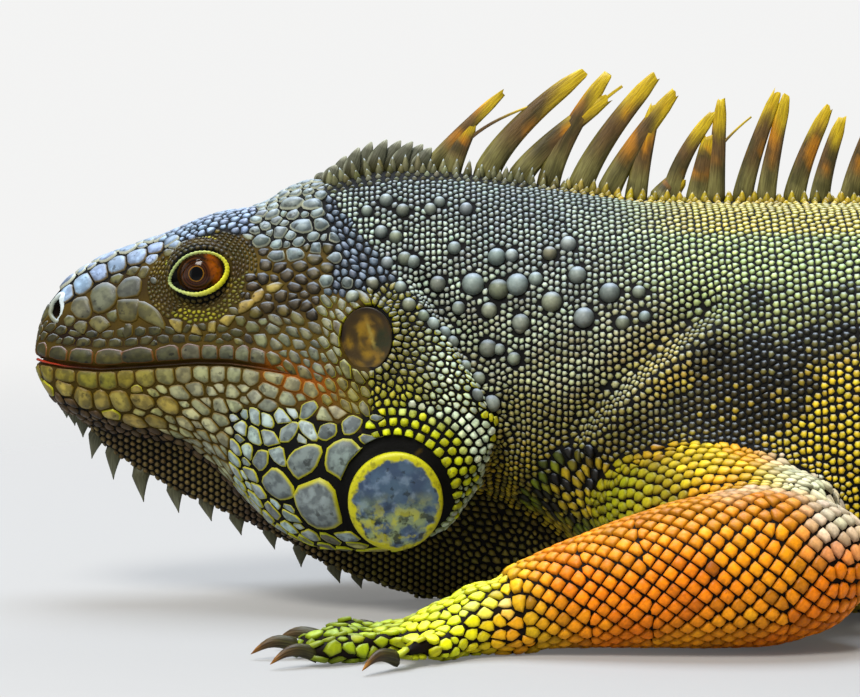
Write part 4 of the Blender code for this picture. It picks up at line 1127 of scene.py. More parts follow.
def scatter(pieceOf, faces, look, spare=0.80):
    # fills the chosen faces with scales, evenly, between the scales that are already there
    first, second, third = skinPoints[skinFaces[faces]].transpose(1, 0, 2)
    area = 0.5 * np.linalg.norm(np.cross(second - first, third - first), axis=1)
    pitch = styled(look, skinPoints[skinFaces[faces]].mean(1), faceOwner[faces])["size"]
    number = np.floor(area / (0.87 * pitch ** 2) * 5.0 + chance.random(len(area))).astype(int)
    index = np.repeat(np.arange(len(faces)), number)
    a, b = chance.random((2, len(index), 1))
    a, b = np.where(a + b > 1, (1 - a, 1 - b), (a, b))
    first, second, third = kept(index, first, second, third)
    points = first + a * (second - first) + b * (third - first)
    ups, owner = kept(faces[index], faceUps, faceOwner)
    style = styled(look, points, owner)
    wide, aspect, keep = style["size"], style["aspect"], style["keep"]
    lie = laid(style["lie"], ups)
    across, tree = np.cross(ups, lie), treeOfPlaces(points)
    alive, covered = keep.copy(), np.zeros(len(points), bool)
    book = {key: np.concatenate(seedBook[key]) for key in ("place", "fixed", "size", "aspect", "lie", "up")}
    there = ((book["place"] > points.min(0) - 6) & (book["place"] < points.max(0) + 6)).all(1)
    taken = book["place"][there]
    for spot, fixed, size, stretch, along, up in zip(*(values[there] for values in book.values())):
        near = np.array([n for _, n, _ in tree.find_range(spot, 0.5 * (size * stretch + 7.0))], int)
        away = points[near] - spot
        u, v = away @ along, away @ np.cross(up, along)
        broad = fixed and size > 3.4
        reach = np.hypot(u / (0.5 * (size * stretch + wide[near])), v / (0.5 * (size + wide[near])))
        alive[near[reach < (0.98 if broad else spare)]] = False
        if broad:
            covered[near[np.hypot(u / stretch, v) < 0.52 * size]] = True
    chosen = []
    for k in chance.permutation(len(points)):
        if alive[k]:
            chosen.append(k)
            near = np.array([n for _, n, _ in tree.find_range(points[k], wide[k] * aspect[k])])
            away = points[near] - points[k]
            alive[near[np.hypot(away @ lie[k] / aspect[k], away @ across[k]) < spare * wide[k]]] = False
    fresh, opened = points[chosen], points[keep & ~covered]
    for _ in range(3 * (len(fresh) > 3)):
        # each one moves towards the middle of the ground nearest to it
        every = np.vstack([fresh, taken])
        seedTree = treeOfPlaces(every)
        nearest = np.array([seedTree.find(p)[1] for p in opened])
        total = np.zeros((len(every), 3))
        np.add.at(total, nearest, opened)
        amount = np.bincount(nearest, minlength=len(every))[:len(fresh)]
        has = amount > 0
        fresh[has] = 0.3 * fresh[has] + 0.7 * total[:len(fresh)][has] / amount[has][:, None]
    if len(fresh):
        found = onSkin(fresh)
        final = styled(look, found[0], onSkin(found[0])[2])
        final.pop("keep")
        names = pieceOf(found[0])
        for name in sorted(set(names)):
            mine = names == name
            addSeeds(name, kept(mine, *found), **{key: value[mine] for key, value in final.items()})
        print("    filled in", len(fresh), "scales")


def headLook(points, owner):
    number = zoneOf(points)
    style = {key: np.array([zone[key] for zone in headZones], float)[number]
             for key in ("size", "aspect", "angle", "groove", "rise")}
    (x, y, z), names, angle = points.T, zoneNames[number], style.pop("angle")
    # rows fan out behind the ear and curve round the jowl's shield
    for organ, there, turn in ((ear, ["earRear"], 0), (shield, ["jowlLow", "jowlRear", "shieldTop"], 90)):
        spoke = turn - np.degrees(np.arctan2(z - organ["centre"][2], x - organ["centre"][0]))
        angle = np.where(np.isin(names, there), spoke, angle)
    keep = ((np.abs(mouthGap(points)) > 1.0) | (x > 62)) & (eyeSpread(points) > 8.9)
    keep &= np.hypot((x - nostril["place"][0]) / 2.9, (z - nostril["place"][1]) / 4.2) > 1.0
    for sign in sides.values():
        mine = y * sign > 20
        keep &= ~(mine & ((ovalShare(points, ear, sign) < 1.12) | (ovalShare(points, shield, sign) < 1.27)))
    tint, rim = zonePaint(points)
    return dict(style, lie=pointing(angle), tint=tint, rim=rim, keep=keep, pointed=0)


def finer(style, share):
    # smaller scales for the gaps, but none in the black furrows of the jowl
    return dict(style, size=style["size"] * share, keep=style["keep"] & (style["groove"] < 0.5))


bodyFill = {
    "neck": dict(size=1.75, groove=0.34, rise=0.30, pointed=0.1),
    "trunk": dict(size=2.4, groove=0.36, rise=0.25, pointed=0.1),
    "tail": dict(size=3.4, groove=0.4, rise=0.2, pointed=0.3),
    "dewlap": dict(size=1.75, groove=0.40, rise=0.32, pointed=0.25),
    "upper_arm": dict(size=3.2, groove=0.5, rise=0.22, pointed=0.5),
    "forearm": dict(size=3.3, groove=0.3, rise=0.18, pointed=0.1),
    "hand": dict(size=3.1, groove=0.22, rise=0.18, pointed=0.3),
    "thigh": dict(size=3.3, groove=0.5, rise=0.24, pointed=0.3),
    "shank": dict(size=3.3, groove=0.5, rise=0.24, pointed=0.2),
    "foot": dict(size=3.2, groove=0.36, rise=0.22, pointed=0.2),
}
limbLines = {name: limbAxis(name) for name in limbNodes}


def bodyLook(points, owner):
    style = {key: np.zeros(len(points)) for key in ("size", "groove", "rise", "pointed")}
    lie = np.zeros((len(points), 3))
    for number, name in enumerate(fleshNodes):
        mine = owner == number
        if not mine.any():
            continue
        kind = next((k for k in bodyFill if name.startswith(k)), "neck")
        for key in style:
            style[key][mine] = bodyFill[kind][key]
        if kind in ("trunk", "neck", "tail"):
            distance = along(points[mine])
            style["size"][mine] = between(bodyRows["pitch"], distance)
            lie[mine] = spineAt(distance)[1]
        else:
            lie[mine] = limbLines[name][1] if name in limbLines else (0.8, 0, -0.5)
    tint = bodyPaint(points, owner)
    return dict(style, aspect=1.1, lie=lie, tint=tint, rim=tint * 0.5, keep=points[:, 2] > 0.3)


def sideName(stem):
    return lambda places: np.where(places[:, 1] < 0, f"{stem}_left", f"{stem}_right")


def facesOf(*stems):
    return np.nonzero(np.isin(faceOwner, owned(*stems)))[0]


def headPieces(places):
    stem = np.where(mouthGap(places) < 0, "jaw_plates", "head_plates")
    stem = np.where(eyeSpread(places) < 12.0, "lid_scales", stem)
    return np.char.add(stem, np.where(places[:, 1] < 0, "_left", "_right"))


plateSeeds()
lidSeeds()
jowlSeeds()
tubercleSeeds()
coneSeeds()
dewlapSeeds()
print("named plates:", sum(map(len, seedBook["place"])))
scatter(headPieces, facesOf(*headNodes), headLook)
scatter(headPieces, facesOf(*headNodes), lambda *where: finer(headLook(*where), 0.62), 0.88)
bodySeeds()
hollow = facesOf("neck", "trunk")
scatter(sideName("shoulder_plates"), hollow[onShoulder(faceCentres[hollow])], shoulderLook)
for name in limbNodes:
    if name.rsplit("_", 1)[0] in limbRows:
        limbSeeds(name)
print("rows laid:", sum(map(len, seedBook["place"])))
for kinds, spare, share in ((("dewlap",), 0.80, 1), (("neck", "trunk", "tail"), 0.86, 1),
                            (("upper_arm", "forearm", "thigh", "shank"), 0.86, 1),
                            (("hand", "foot"), 0.68, 1), (("hand", "foot", "forearm"), 0.86, 0.6)):
    for kind in kinds:
        stem = f"{kind}_fill" if kind in ("neck", "trunk", "tail") else f"{kind}_scales"
        scatter(sideName(stem), facesOf(kind),
                bodyLook if share == 1 else lambda *where: finer(bodyLook(*where), share), spare)
seeds = {key: np.concatenate(parts) for key, parts in seedBook.items()}
print("scales in all:", len(seeds["place"]))


# outline of each scale: the ground nearer to it than to its neighbours, less the groove
templates = {
    # corners round, then rings from the buried edge up as (reach, crest, rear lift)
    "small": (6, ((0.96, -0.9, 0.0), (0.84, 0.52, 0.30))),
    "cone": (6, ((0.98, -0.6, 0.0), (0.62, 0.30, 0.10), (0.26, 0.72, 0.10))),
    "bead": (16, ((0.98, -0.6, 0.0), (0.95, 0.22, 0.0), (0.80, 0.58, 0.0), (0.50, 0.88, 0.0))),
    "shingle": (8, ((0.98, -0.9, 0.0), (0.93, 0.46, 0.36), (0.62, 0.88, 0.12))),
    "middle": (8, ((0.98, -0.9, 0.0), (0.90, 0.50, 0.25), (0.52, 0.92, 0.10))),
    "large": (16, ((0.985, -0.9, 0.0), (0.955, 0.35, 0.0), (0.86, 0.80, 0.0), (0.50, 0.96, 0.0))),
}


def cellOutlines(corners):
    places, ups, lies = seeds["place"], seeds["up"], seeds["lie"]
    across, tree, many = np.cross(ups, lies), treeOfPlaces(places), 13
    near = np.full((len(places), many), -1)
    for k, p in enumerate(places):
        found = [n for _, n, _ in tree.find_n(p, many + 1) if n != k][:many]
        near[k, :len(found)] = found
    away = places[near] - places[:, None]
    aspect = np.sqrt(seeds["aspect"])[:, None]
    u, v = (away * lies[:, None]).sum(2) / aspect, (away * across[:, None]).sum(2) * aspect
    length = np.maximum(np.hypot(u, v), 1e-3)
    size = seeds["size"] * np.sqrt(seeds["aspect"])
    half = length * np.clip(size[:, None] / (size[:, None] + size[near]), 0.2, 0.8)
    half[(ups[near] * ups[:, None]).sum(2) < 0.1] = 99.0
    size, point, fixed = size[:, None], seeds["pointed"][:, None], seeds["fixed"][:, None]
    direction = np.stack([np.cos(around(corners)), np.sin(around(corners))], -1)
    facing = (u[..., None] * direction[:, 0] + v[..., None] * direction[:, 1]) / length[..., None]
    reach = np.where(facing > 0.05, half[..., None] / np.maximum(facing, 0.05), 99.0)
    reach = np.minimum((reach ** -12.0).sum(1) ** (-1 / 12.0), np.where(fixed > 0, 0.76, 0.75) * size)
    reach = np.maximum(reach - seeds["groove"][:, None] / 2, 0.18 * size)
    reach = np.where(fixed > 1, 0.5 * size, reach)
    rear = np.maximum(direction[:, 0], 0)
    reach = reach * (1 + point * rear ** 6 - 0.25 * point * np.abs(direction[:, 1]) * (rear > 0.3))
    flat = direction[None] * reach[..., None]
    return (places[:, None] + lies[:, None] * (flat[..., :1] * aspect[..., None])
            + across[:, None] * (flat[..., 1:] / aspect[..., None]))


def cleared(outline, chosen):
    # head plates kept off the ear, the jowl's shield and the mouth's line
    points = outline.reshape(-1, 3).copy()
    for sign in sides.values():
        for organ, limit in ((ear, 1.08), (shield, 1.20)):
            centre, out, back, up = organFrame(organ, sign)
            q = ovalShare(points, organ, sign)
            inside = (q < limit) & (points[:, 1] * sign > 18)
            away = points - centre
            flat = (away @ back)[:, None] * back + (away @ up)[:, None] * up
            points = np.where(inside[:, None],
                              points + flat * (limit / np.maximum(q, 0.2) - 1)[:, None], points)
    gap = mouthGap(points)
    side = np.sign(np.repeat(mouthGap(seeds["place"][chosen]), outline.shape[1]))
    over = (side * gap < mouth["lips"]) & (points[:, 0] < mouth["corner"] - 1)
    points[:, 2] += np.where(over, side * mouth["lips"] - gap, 0)
    return points.reshape(outline.shape)


def setAttribute(mesh, name, values):
    # whole numbers, values, directions, or colours for tint and rim
    values, kind, key = np.asarray(values), "FLOAT", "value"
    if name in ("tint", "rim"):
        values, kind, key = np.hstack([values, np.ones((len(values), 1))]), "FLOAT_COLOR", "color"
    elif values.ndim > 1:
        kind, key = "FLOAT_VECTOR", "vector"
    elif values.dtype.kind == "i":
        kind = "INT"
    mesh.attributes.new(name, kind, "POINT").data.foreach_set(key, values.ravel())


def setUvs(mesh, places):
    # the UV map, from one place for each vertex
    layer = mesh.uv_layers.new(name="OFBake")
    layer.data.foreach_set("uv", np.asarray(places)[readAll(mesh.loops, "vertex_index", kind=int)].ravel())


def templateObject(name):
    # rings round a top point, with the corner, reach and crest of each of their points
    count, rings = templates[name]
    wide, high, lift = np.repeat(rings, count, 0).T
    corner, angles = np.tile(np.arange(count), len(rings)), np.tile(around(count), len(rings))
    points = np.stack([wide * np.cos(angles), wide * np.sin(angles), high], -1)
    last = len(points) - count
    faces = ringFaces(len(rings), count)[:-1] + [(last + k, last + (k + 1) % count, len(points))
                                                 for k in range(count)]
    obj = rawObject(f"template_{name}", np.vstack([points, (0, 0, 1)]), faces)
    for key, values, top in (("corner", corner, 0), ("reach", wide, 0),
                             ("crest", high + lift * np.maximum(0, np.cos(angles)), 1)):
        setAttribute(obj.data, key, np.append(values, top))
    return obj


def add(tree, kind, inputs=None, output=0, **settings):
    # adds a node to a tree, sets or links its inputs, and gives one of its outputs
    made = tree.nodes.new(kind)
    for key, value in settings.items():
        setattr(made, key, value)
    shown = [socket for socket in made.inputs if socket.enabled]
    for key, value in (inputs or {}).items():
        socket = shown[key] if isinstance(key, int) else next(s for s in shown if s.name == key)
        if isinstance(value, bpy.types.NodeSocket):
            tree.links.new(value, socket)
        else:
            socket.default_value = value
    shown = [socket for socket in made.outputs if socket.enabled]
    return shown[output] if isinstance(output, int) else next(s for s in shown if s.name == output)


def maths(tree, operation, *values, kind="Math"):
    return add(tree, f"ShaderNode{kind}", dict(enumerate(values)), operation=operation)


def product(tree, first, *others):
    for other in others:
        first = maths(tree, "MULTIPLY", first, other)
    return first


def noise(tree, where, scale, detail=4.0):
    return add(tree, "ShaderNodeTexNoise", {"Vector": where, "Scale": scale, "Detail": detail}, "Fac")


def ranged(tree, value, *limits):
    # value eased from one range (from, to) to another, 0 to 1 unless given
    return add(tree, "ShaderNodeMapRange", dict(enumerate((value, *limits))), interpolation_type="SMOOTHSTEP")


def mixed(tree, share, first, second, kind="MIX"):
    return add(tree, "ShaderNodeMix", {0: share, 1: first, 2: second}, data_type="RGBA", blend_type=kind)


def attributeOf(tree, name, output="Color"):
    return add(tree, "ShaderNodeAttribute", output=output, attribute_name=name)


def partsOf(tree, vector):
    return add(tree, "ShaderNodeSeparateXYZ", {0: vector}).node.outputs


def objectPlace(tree):
    return add(tree, "ShaderNodeTexCoord", output="Object")


def treeSockets(tree, given, results):
    # named inputs with their kinds or first values, and named outputs; gives the inputs' sockets
    for name, value in given.items():
        kind = value if isinstance(value, str) else "Color" if isinstance(value, tuple) else "Float"
        socket = tree.interface.new_socket(name, in_out="INPUT", socket_type=f"NodeSocket{kind}")
        if kind is not value:
            socket.default_value = value
    for name, kind in results.items():
        tree.interface.new_socket(name, in_out="OUTPUT", socket_type=f"NodeSocket{kind}")
    return tree.nodes.new("NodeGroupInput").outputs


def scaleTree():
    # sets a template on every seed, then draws its corners out to that seed's own outline
    tree = bpy.data.node_groups.new("scale field", "GeometryNodeTree")
    given = treeSockets(tree, {"Geometry": "Geometry", "Template": "Object", "Outlines": "Object",
                               "Corners": "Int", "Height": 1.0, "Finish": "Material"},
                        {"Geometry": "Geometry"})

    def step(kind, inputs=None, **settings):
        return add(tree, f"GeometryNode{kind}", inputs, **settings)

    def named(name, kind="FLOAT"):
        return step("InputNamedAttribute", {"Name": name}, output="Attribute", data_type=kind)

    def vectors(operation, *values):
        return maths(tree, operation, *values, kind="VectorMath")

    def placeOf(geometry, index):
        return step("SampleIndex", {"Geometry": geometry, "Index": index, "Value": step("InputPosition")},
                    data_type="FLOAT_VECTOR", domain="POINT")

    def shapeOf(name):
        return step("ObjectInfo", {"Object": given[name]}, output="Geometry", transform_space="ORIGINAL")

    numbered = step("StoreNamedAttribute",
                    {"Geometry": given["Geometry"], "Name": "seed", "Value": step("InputIndex")},
                    data_type="INT", domain="POINT")
    real = step("RealizeInstances", {"Geometry": step("InstanceOnPoints",
                                                      {"Points": numbered, "Instance": shapeOf("Template")})})
    seed = named("seed", "INT")
    spot = maths(tree, "ADD", product(tree, seed, given["Corners"]), named("corner", "INT"))
    middle = placeOf(given["Geometry"], seed)
    away = vectors("SUBTRACT", placeOf(shapeOf("Outlines"), spot), middle)
    flat = vectors("ADD", middle, vectors("SCALE", away, named("reach")))
    lift = product(tree, named("rise"), named("crest"), given["Height"])
    place = vectors("ADD", flat, vectors("SCALE", named("up", "FLOAT_VECTOR"), lift))
    finish = step("SetMaterial", {"Geometry": step("SetPosition", {"Geometry": real, "Position": place}),
                                  "Material": given["Finish"]})
    tree.links.new(finish, tree.nodes.new("NodeGroupOutput").inputs[0])
    return tree


def unwrapped(points, name):
    # the skin unrolled round the line it follows: length one way, angle the other
    limb = next((n for n in limbNodes if name.startswith(n.rsplit("_", 1)[0])
                 and name.endswith(n.rsplit("_", 1)[1])), None)
    if limb:
        middle, axis = limbLines[limb]
        across, away = unit(np.cross(axis, upward)), points - middle
        length, angle = away @ axis, np.arctan2(away @ np.cross(across, axis), away @ across)
    else:
        length = along(points)
        centre, _, side = spineAt(length)
        away = points - centre
        angle = np.arctan2(away[:, 2], (away * side).sum(1))
    return np.stack([0.01 + 0.98 * (value - value.min()) / max(np.ptp(value), least)
                     for value, least in ((length, 1.0), (angle, 0.1))], -1)


patch = 0.0022  # half width of a scale's patch on the unwrap


def scaleMesh(name, chosen, kind, finish):
    # one kind of a piece's scales, each with a small patch of the UV map at its root's place
    count, points = templates[kind][0], seeds["place"][chosen]
    cloud = rawObject(name, toFrame(points))
    for key, values in (("up", seeds["up"]), ("rise", seeds["rise"] * seeds["size"] * mm),
                        ("tint", seeds["tint"]), ("rim", seeds["rim"])):
        setAttribute(cloud.data, key, values[chosen])
    edges = rawObject(f"{name}_outlines", toFrame(outlinesFor[count][chosen].reshape(-1, 3)))
    modifier = cloud.modifiers.new("scales", "NODES")
    modifier.node_group = scaleField
    sockets = {item.name: item.identifier for item in scaleField.interface.items_tree
               if item.in_out == "INPUT"}
    for key, value in (("Template", templateObjects[kind]), ("Outlines", edges), ("Corners", count),
                       ("Height", 1.0), ("Finish", finish)):
        modifier[sockets[key]] = value
    mesh = evaluatedMesh(cloud)
    bpy.data.objects.remove(cloud)
    bpy.data.objects.remove(edges)
    number, corner = (readAll(mesh.attributes[key].data, "value", kind=int) for key in ("seed", "corner"))
    reach = readAll(mesh.attributes["reach"].data, "value")[:, None]
    turn = corner * fullTurn / count
    setUvs(mesh, unwrapped(points, name)[number] + patch * reach * np.stack([np.cos(turn), np.sin(turn)], -1))
    for key in ("seed", "corner", "crest", "rise", "up"):
        mesh.attributes.remove(mesh.attributes[key])
    return mesh


# finishes
def hornGroup():
    # one scale's colour: its tint, a rim of another colour, mottling, dark specks, a painted highlight in its
    # middle and painted shade towards its edge, a painted pale blue highlight where it faces up, fine grain
    group = bpy.data.node_groups.new("horn scale", "ShaderNodeTree")
    given = treeSockets(group, {"tint": (0.5, 0.5, 0.5, 1), "rim": (0.5, 0.5, 0.2, 1), "reach": 0.0,
                                "rimStart": 0.8, "rimStrength": 0.8, "mottle": 0.3, "mottleSize": 900.0,
                                "specks": 0.2, "frost": 0.2, "paintedEdgeShade": 0.62},
                        {"Color": "Color", "Roughness": "Float", "Height": "Float"})
    where = objectPlace(group)
    mottle = ranged(group, noise(group, where, given["mottleSize"], 3.0), 0.38, 0.62)
    look = mixed(group, product(group, mottle, given["mottle"]), given["tint"],
                 (0.30, 0.30, 0.32, 1), "MULTIPLY")
    specks = ranged(group, noise(group, where, 520.0), 0.60, 0.68)
    look = mixed(group, product(group, specks, given["specks"]), look, (0.10, 0.09, 0.07, 1), "MULTIPLY")
    rim = product(group, ranged(group, given["reach"], given["rimStart"], 0.96), given["rimStrength"])
    look = mixed(group, rim, look, given["rim"])
    # painted shade and painted highlight: each scale's colour is raised in its middle and lowered towards its
    # edge, so it looks lit on its dome and shaded at its sides
    shade = ranged(group, given["reach"], 0.30, 0.97, 1.2, given["paintedEdgeShade"])
    look = add(group, "ShaderNodeVectorMath", {0: look, "Scale": shade}, operation="SCALE")
    # painted highlight: a pale blue laid where the surface faces up, for the sky lamp's light caught on the
    # tops of the scales
    upright = partsOf(group, add(group, "ShaderNodeNewGeometry", output="Normal"))["Z"]
    frost = product(group, ranged(group, upright, 0.45, 0.97), given["frost"])
    look = mixed(group, frost, look, (0.55, 0.66, 0.82, 1))
    grain = noise(group, where, 4000.0, 3.0)
    result = group.nodes.new("NodeGroupOutput").inputs
    for name, value in (("Color", look), ("Roughness", ranged(group, grain, 0.3, 0.7, 0.34, 0.52)),
                        ("Height", grain)):
        group.links.new(value, result[name])
    return group


def material(name, roughness=0.4, coat=0.0, gloss=0.3):
    made = bpy.data.materials.new(name)
    made.use_nodes = True
    shader = made.node_tree.nodes["Principled BSDF"].inputs
    for key, value in (("Roughness", roughness), ("Specular IOR Level", gloss), ("Coat Weight", coat),
                       ("Coat Roughness", 0.12)):
        shader[key].default_value = value
    return made, made.node_tree, shader


def dress(tree, shader, base, height, strength, depth):
    # the colour and the bump of a finish
    tree.links.new(base, shader["Base Color"])
    bumped = add(tree, "ShaderNodeBump",
                 {"Strength": strength, "Distance": depth, "Height": height}, "Normal")
    tree.links.new(bumped, shader["Normal"])


def scaleFinish(name, gloss=0.3, **values):
    made, tree, shader = material(name, gloss=gloss)
    horn = tree.nodes.new("ShaderNodeGroup")
    horn.node_tree = hornLook
    for key in ("tint", "rim", "reach"):
        tree.links.new(attributeOf(tree, key, "Fac" if key == "reach" else "Color"), horn.inputs[key])
    for key, value in values.items():
        horn.inputs[key].default_value = value
    tree.links.new(horn.outputs["Roughness"], shader["Roughness"])
    dress(tree, shader, horn.outputs["Color"], horn.outputs["Height"], 0.25, 0.0001)
    return made


hornLook = hornGroup()
finishes = {
    "head plates": dict(rimStart=0.80, rimStrength=0.9, mottle=0.7, mottleSize=420.0, specks=0.8, frost=0.30,
                        paintedEdgeShade=0.8),
    "lid scales": dict(rimStrength=0.4, frost=0.06, gloss=0.2),
    "jaw plates": dict(rimStart=0.77, rimStrength=1.0, mottle=0.75, mottleSize=420.0, specks=0.6, frost=0.08,
                       paintedEdgeShade=0.85),
    "neck beads": dict(rimStart=0.74, rimStrength=0.4, mottle=0.25, frost=0.36),
    "trunk scales": dict(rimStart=0.66, rimStrength=0.6, frost=0.30),
    "tail scales": dict(rimStart=0.7, rimStrength=0.5, mottle=0.4),
    "arm scales": dict(rimStrength=0.5, frost=0.02, gloss=0.2, paintedEdgeShade=0.85),
    "leg scales": dict(rimStart=0.72, rimStrength=0.6, mottle=0.35, frost=0.1),
    "hand scales": dict(rimStrength=0.4, mottle=0.2, frost=0.06, gloss=0.25, paintedEdgeShade=0.85),
    "foot scales": dict(rimStart=0.75, rimStrength=0.5, frost=0.1),
    "dewlap scales": dict(rimStart=0.7, rimStrength=0.6, mottle=0.35, frost=0.0),
}
finishes = {name.split()[0]: scaleFinish(name, **look) for name, look in finishes.items()}
slots = {"lid": "head", "tubercles": "neck", "shoulder": "trunk", "upper": "arm", "forearm": "arm",
         "thigh": "leg", "shank": "leg"}


def templateFor(name, size, rise):
    kind = "small"
    if name.startswith(("head_plates", "jaw_plates")):
        return np.where(size > 3.1, np.where(rise > 0.35, "bead", "large"), "middle")
    for stems, shape in ((("neck_cones", "trunk_cones"), "cone"), (("tubercles",), "bead"),
                         (("upper_arm", "forearm", "hand", "shoulder"), "shingle")):
        kind = shape if name.startswith(stems) else kind
    return np.full(len(size), kind)


def joinedMesh(name, meshes):
    # several meshes as one object at the origin
    objects = [bpy.data.objects.new(name, mesh) for mesh in meshes]
    for obj in objects:
        bpy.context.scene.collection.objects.link(obj)
    if len(objects) > 1:
        with bpy.context.temp_override(active_object=objects[0], object=objects[0],
                                       selected_editable_objects=objects, selected_objects=objects):
            bpy.ops.object.join()
    return objects[0]


scaleField = scaleTree()
templateObjects = {name: templateObject(name) for name in templates}
outlinesFor = {corners: cellOutlines(corners) for corners in (6, 8, 16)}
ofHead = np.isin(seeds["owner"].astype(int), owned(*headNodes))
chosen = np.nonzero(ofHead)[0]
for outline in outlinesFor.values():
    outline[chosen] = cleared(outline[chosen], chosen)
# the widest plates follow the skin's curve
chosen = np.nonzero((seeds["size"] > 3.1) & ofHead)[0]
outlinesFor[16][chosen] = onSkin(outlinesFor[16][chosen].reshape(-1, 3))[0].reshape(-1, 16, 3)

seeds["tint"] = np.clip(seeds["tint"] * (1 + 0.16 * chance.normal(size=(len(seeds["tint"]), 1)))
                        * (1 + 0.03 * chance.normal(size=seeds["tint"].shape)), 0, 1)
scalePieces = []
for number, name in enumerate(pieceNames):
    mine = np.nonzero(seeds["piece"].astype(int) == number)[0]
    kinds = templateFor(name, seeds["size"][mine], seeds["rise"][mine])
    stem = name.split("_")[0]
    slot = slots.get(stem, stem)
    obj = joinedMesh(name, [scaleMesh(name, mine[kinds == kind], kind, finishes.get(stem, finishes.get(slot)))
                            for kind in sorted(set(kinds))])
    obj.name = obj.data.name = name
    obj.data.shade_smooth()
    points = readAll(obj.data.vertices, "co", 3)
    points[:, 2] = np.maximum(points[:, 2], 0.0)
    obj.data.vertices.foreach_set("co", points.ravel())
    obj.data.update()
    scalePieces.append((obj, slot))
for template in templateObjects.values():
    bpy.data.objects.remove(template)
print("scale pieces:", len(scalePieces))


# skin between the scales
def finishSkin():
    made, tree, shader = material("skin", 0.65, gloss=0.12)
    grain = noise(tree, objectPlace(tree), 2600.0)
    look = mixed(tree, grain, attributeOf(tree, "tint"), (0.55, 0.52, 0.5, 1), "MULTIPLY")
    dress(tree, shader, look, grain, 0.4, 0.0002)
    vertexOwner = np.zeros(len(skinPoints), int)
    vertexOwner[skinFaces.ravel()] = np.repeat(faceOwner, 3)
    setAttribute(skin.data, "tint", groovePaint(skinPoints, vertexOwner))
    skin.data.materials.clear()
    skin.data.materials.append(made)
    setUvs(skin.data, unwrapped(skinPoints, "skin"))


# small made pieces
madePieces = []


def madePiece(name, points, faces, slot, finish, roots=None, **attributes):
    obj = rawObject(name, toFrame(points), faces)
    for key, values in attributes.items():
        setAttribute(obj.data, key, values)
    obj.data.materials.append(finish)
    obj.data.shade_smooth()
    if roots is not None:
        setUvs(obj.data, roots)
    madePieces.append((obj, slot))
    return obj


def outwards(obj, weld=True):
    # turns every face outwards
    bm = bmesh.new()
    bm.from_mesh(obj.data)
    if weld:
        bmesh.ops.remove_doubles(bm, verts=bm.verts, dist=1e-7)
    bmesh.ops.recalc_face_normals(bm, faces=bm.faces)
    bm.to_mesh(obj.data)
    bm.free()
    return obj


def piping(name, slot, look, tint, line, radii, count, normals, closed=True):
    # a tube along a line, flattened towards the surface: radii as (sideways, outwards)
    step = np.roll(line, -1, 0) - np.roll(line, 1, 0)
    if not closed:
        step[0], step[-1] = line[1] - line[0], line[-1] - line[-2]
    forward = unit(step)
    out = laid(normals, forward)
    angles = around(count)[:, None]
    points = (line[:, None] + np.cross(forward, out)[:, None] * radii[:, None, :1] * np.cos(angles)
              + out[:, None] * radii[:, None, 1:] * np.sin(angles))
    faces, last = ringFaces(len(line), count), (len(line) - 1) * count
    if closed:
        faces[-2:] = [(last + j, last + (j + 1) % count, (j + 1) % count, j) for j in range(count)]
    tint = np.repeat(tint, count, 0)
    outwards(madePiece(name, points.reshape(-1, 3), faces, slot, look, tint=tint, rim=tint,
                       reach=np.zeros(len(tint))))


def toned(tone):
    return (*colour(tone), 1)


def eyeFinish():
    # iris by distance from the pupil's middle, warmer towards the rear, with fine rings
    made, tree, shader = material("eye", 0.12, gloss=0.22)
    parts = partsOf(tree, attributeOf(tree, "iris", "Vector"))
    wander = noise(tree, objectPlace(tree), 900.0)
    reach = maths(tree, "SUBTRACT", maths(tree, "MULTIPLY_ADD", wander, 0.05, parts["Z"]), 0.025)
    rings = add(tree, "ShaderNodeValToRGB", {"Fac": reach}, "Color")
    stops = [(0.0, (0.01, 0.01, 0.01)), (0.225, (0.01, 0.01, 0.01)), (0.245, (0.52, 0.35, 0.06)),
             (0.262, (0.44, 0.28, 0.05)), (0.285, (0.07, 0.03, 0.01)), (0.33, (0.26, 0.12, 0.03)),
             (0.36, (0.08, 0.04, 0.01)), (0.41, (0.28, 0.13, 0.03)), (0.45, (0.09, 0.04, 0.01)),
             (0.52, (0.30, 0.16, 0.03)), (0.56, (0.10, 0.05, 0.01)), (0.66, (0.22, 0.14, 0.04)),
             (0.84, (0.18, 0.12, 0.04)), (1.0, (0.07, 0.05, 0.02))]
    elements = rings.node.color_ramp.elements
    while len(elements) < len(stops):
        elements.new(0.5)
    for element, (place, tone) in zip(elements, stops):
        element.position, element.color = place, toned(tone)
    warm = product(tree, ranged(tree, parts["X"], 0.34, 0.60), ranged(tree, parts["Z"], 0.36, 0.50),
                   ranged(tree, parts["Z"], 0.88, 0.72), ranged(tree, wander, 0.30, 0.52, 0.35, 1.0))
    tree.links.new(mixed(tree, warm, rings, toned((0.56, 0.28, 0.02))), shader["Base Color"])
    return made


eyeRim = {
    # half length and height, thickness in front and gain behind, rise and depth of its notches
    "half": (7.0, 5.0),
    "thickness": (0.32, 0.44),
    "rise": 0.42,
    "notches": (0.07, 0.09),
}


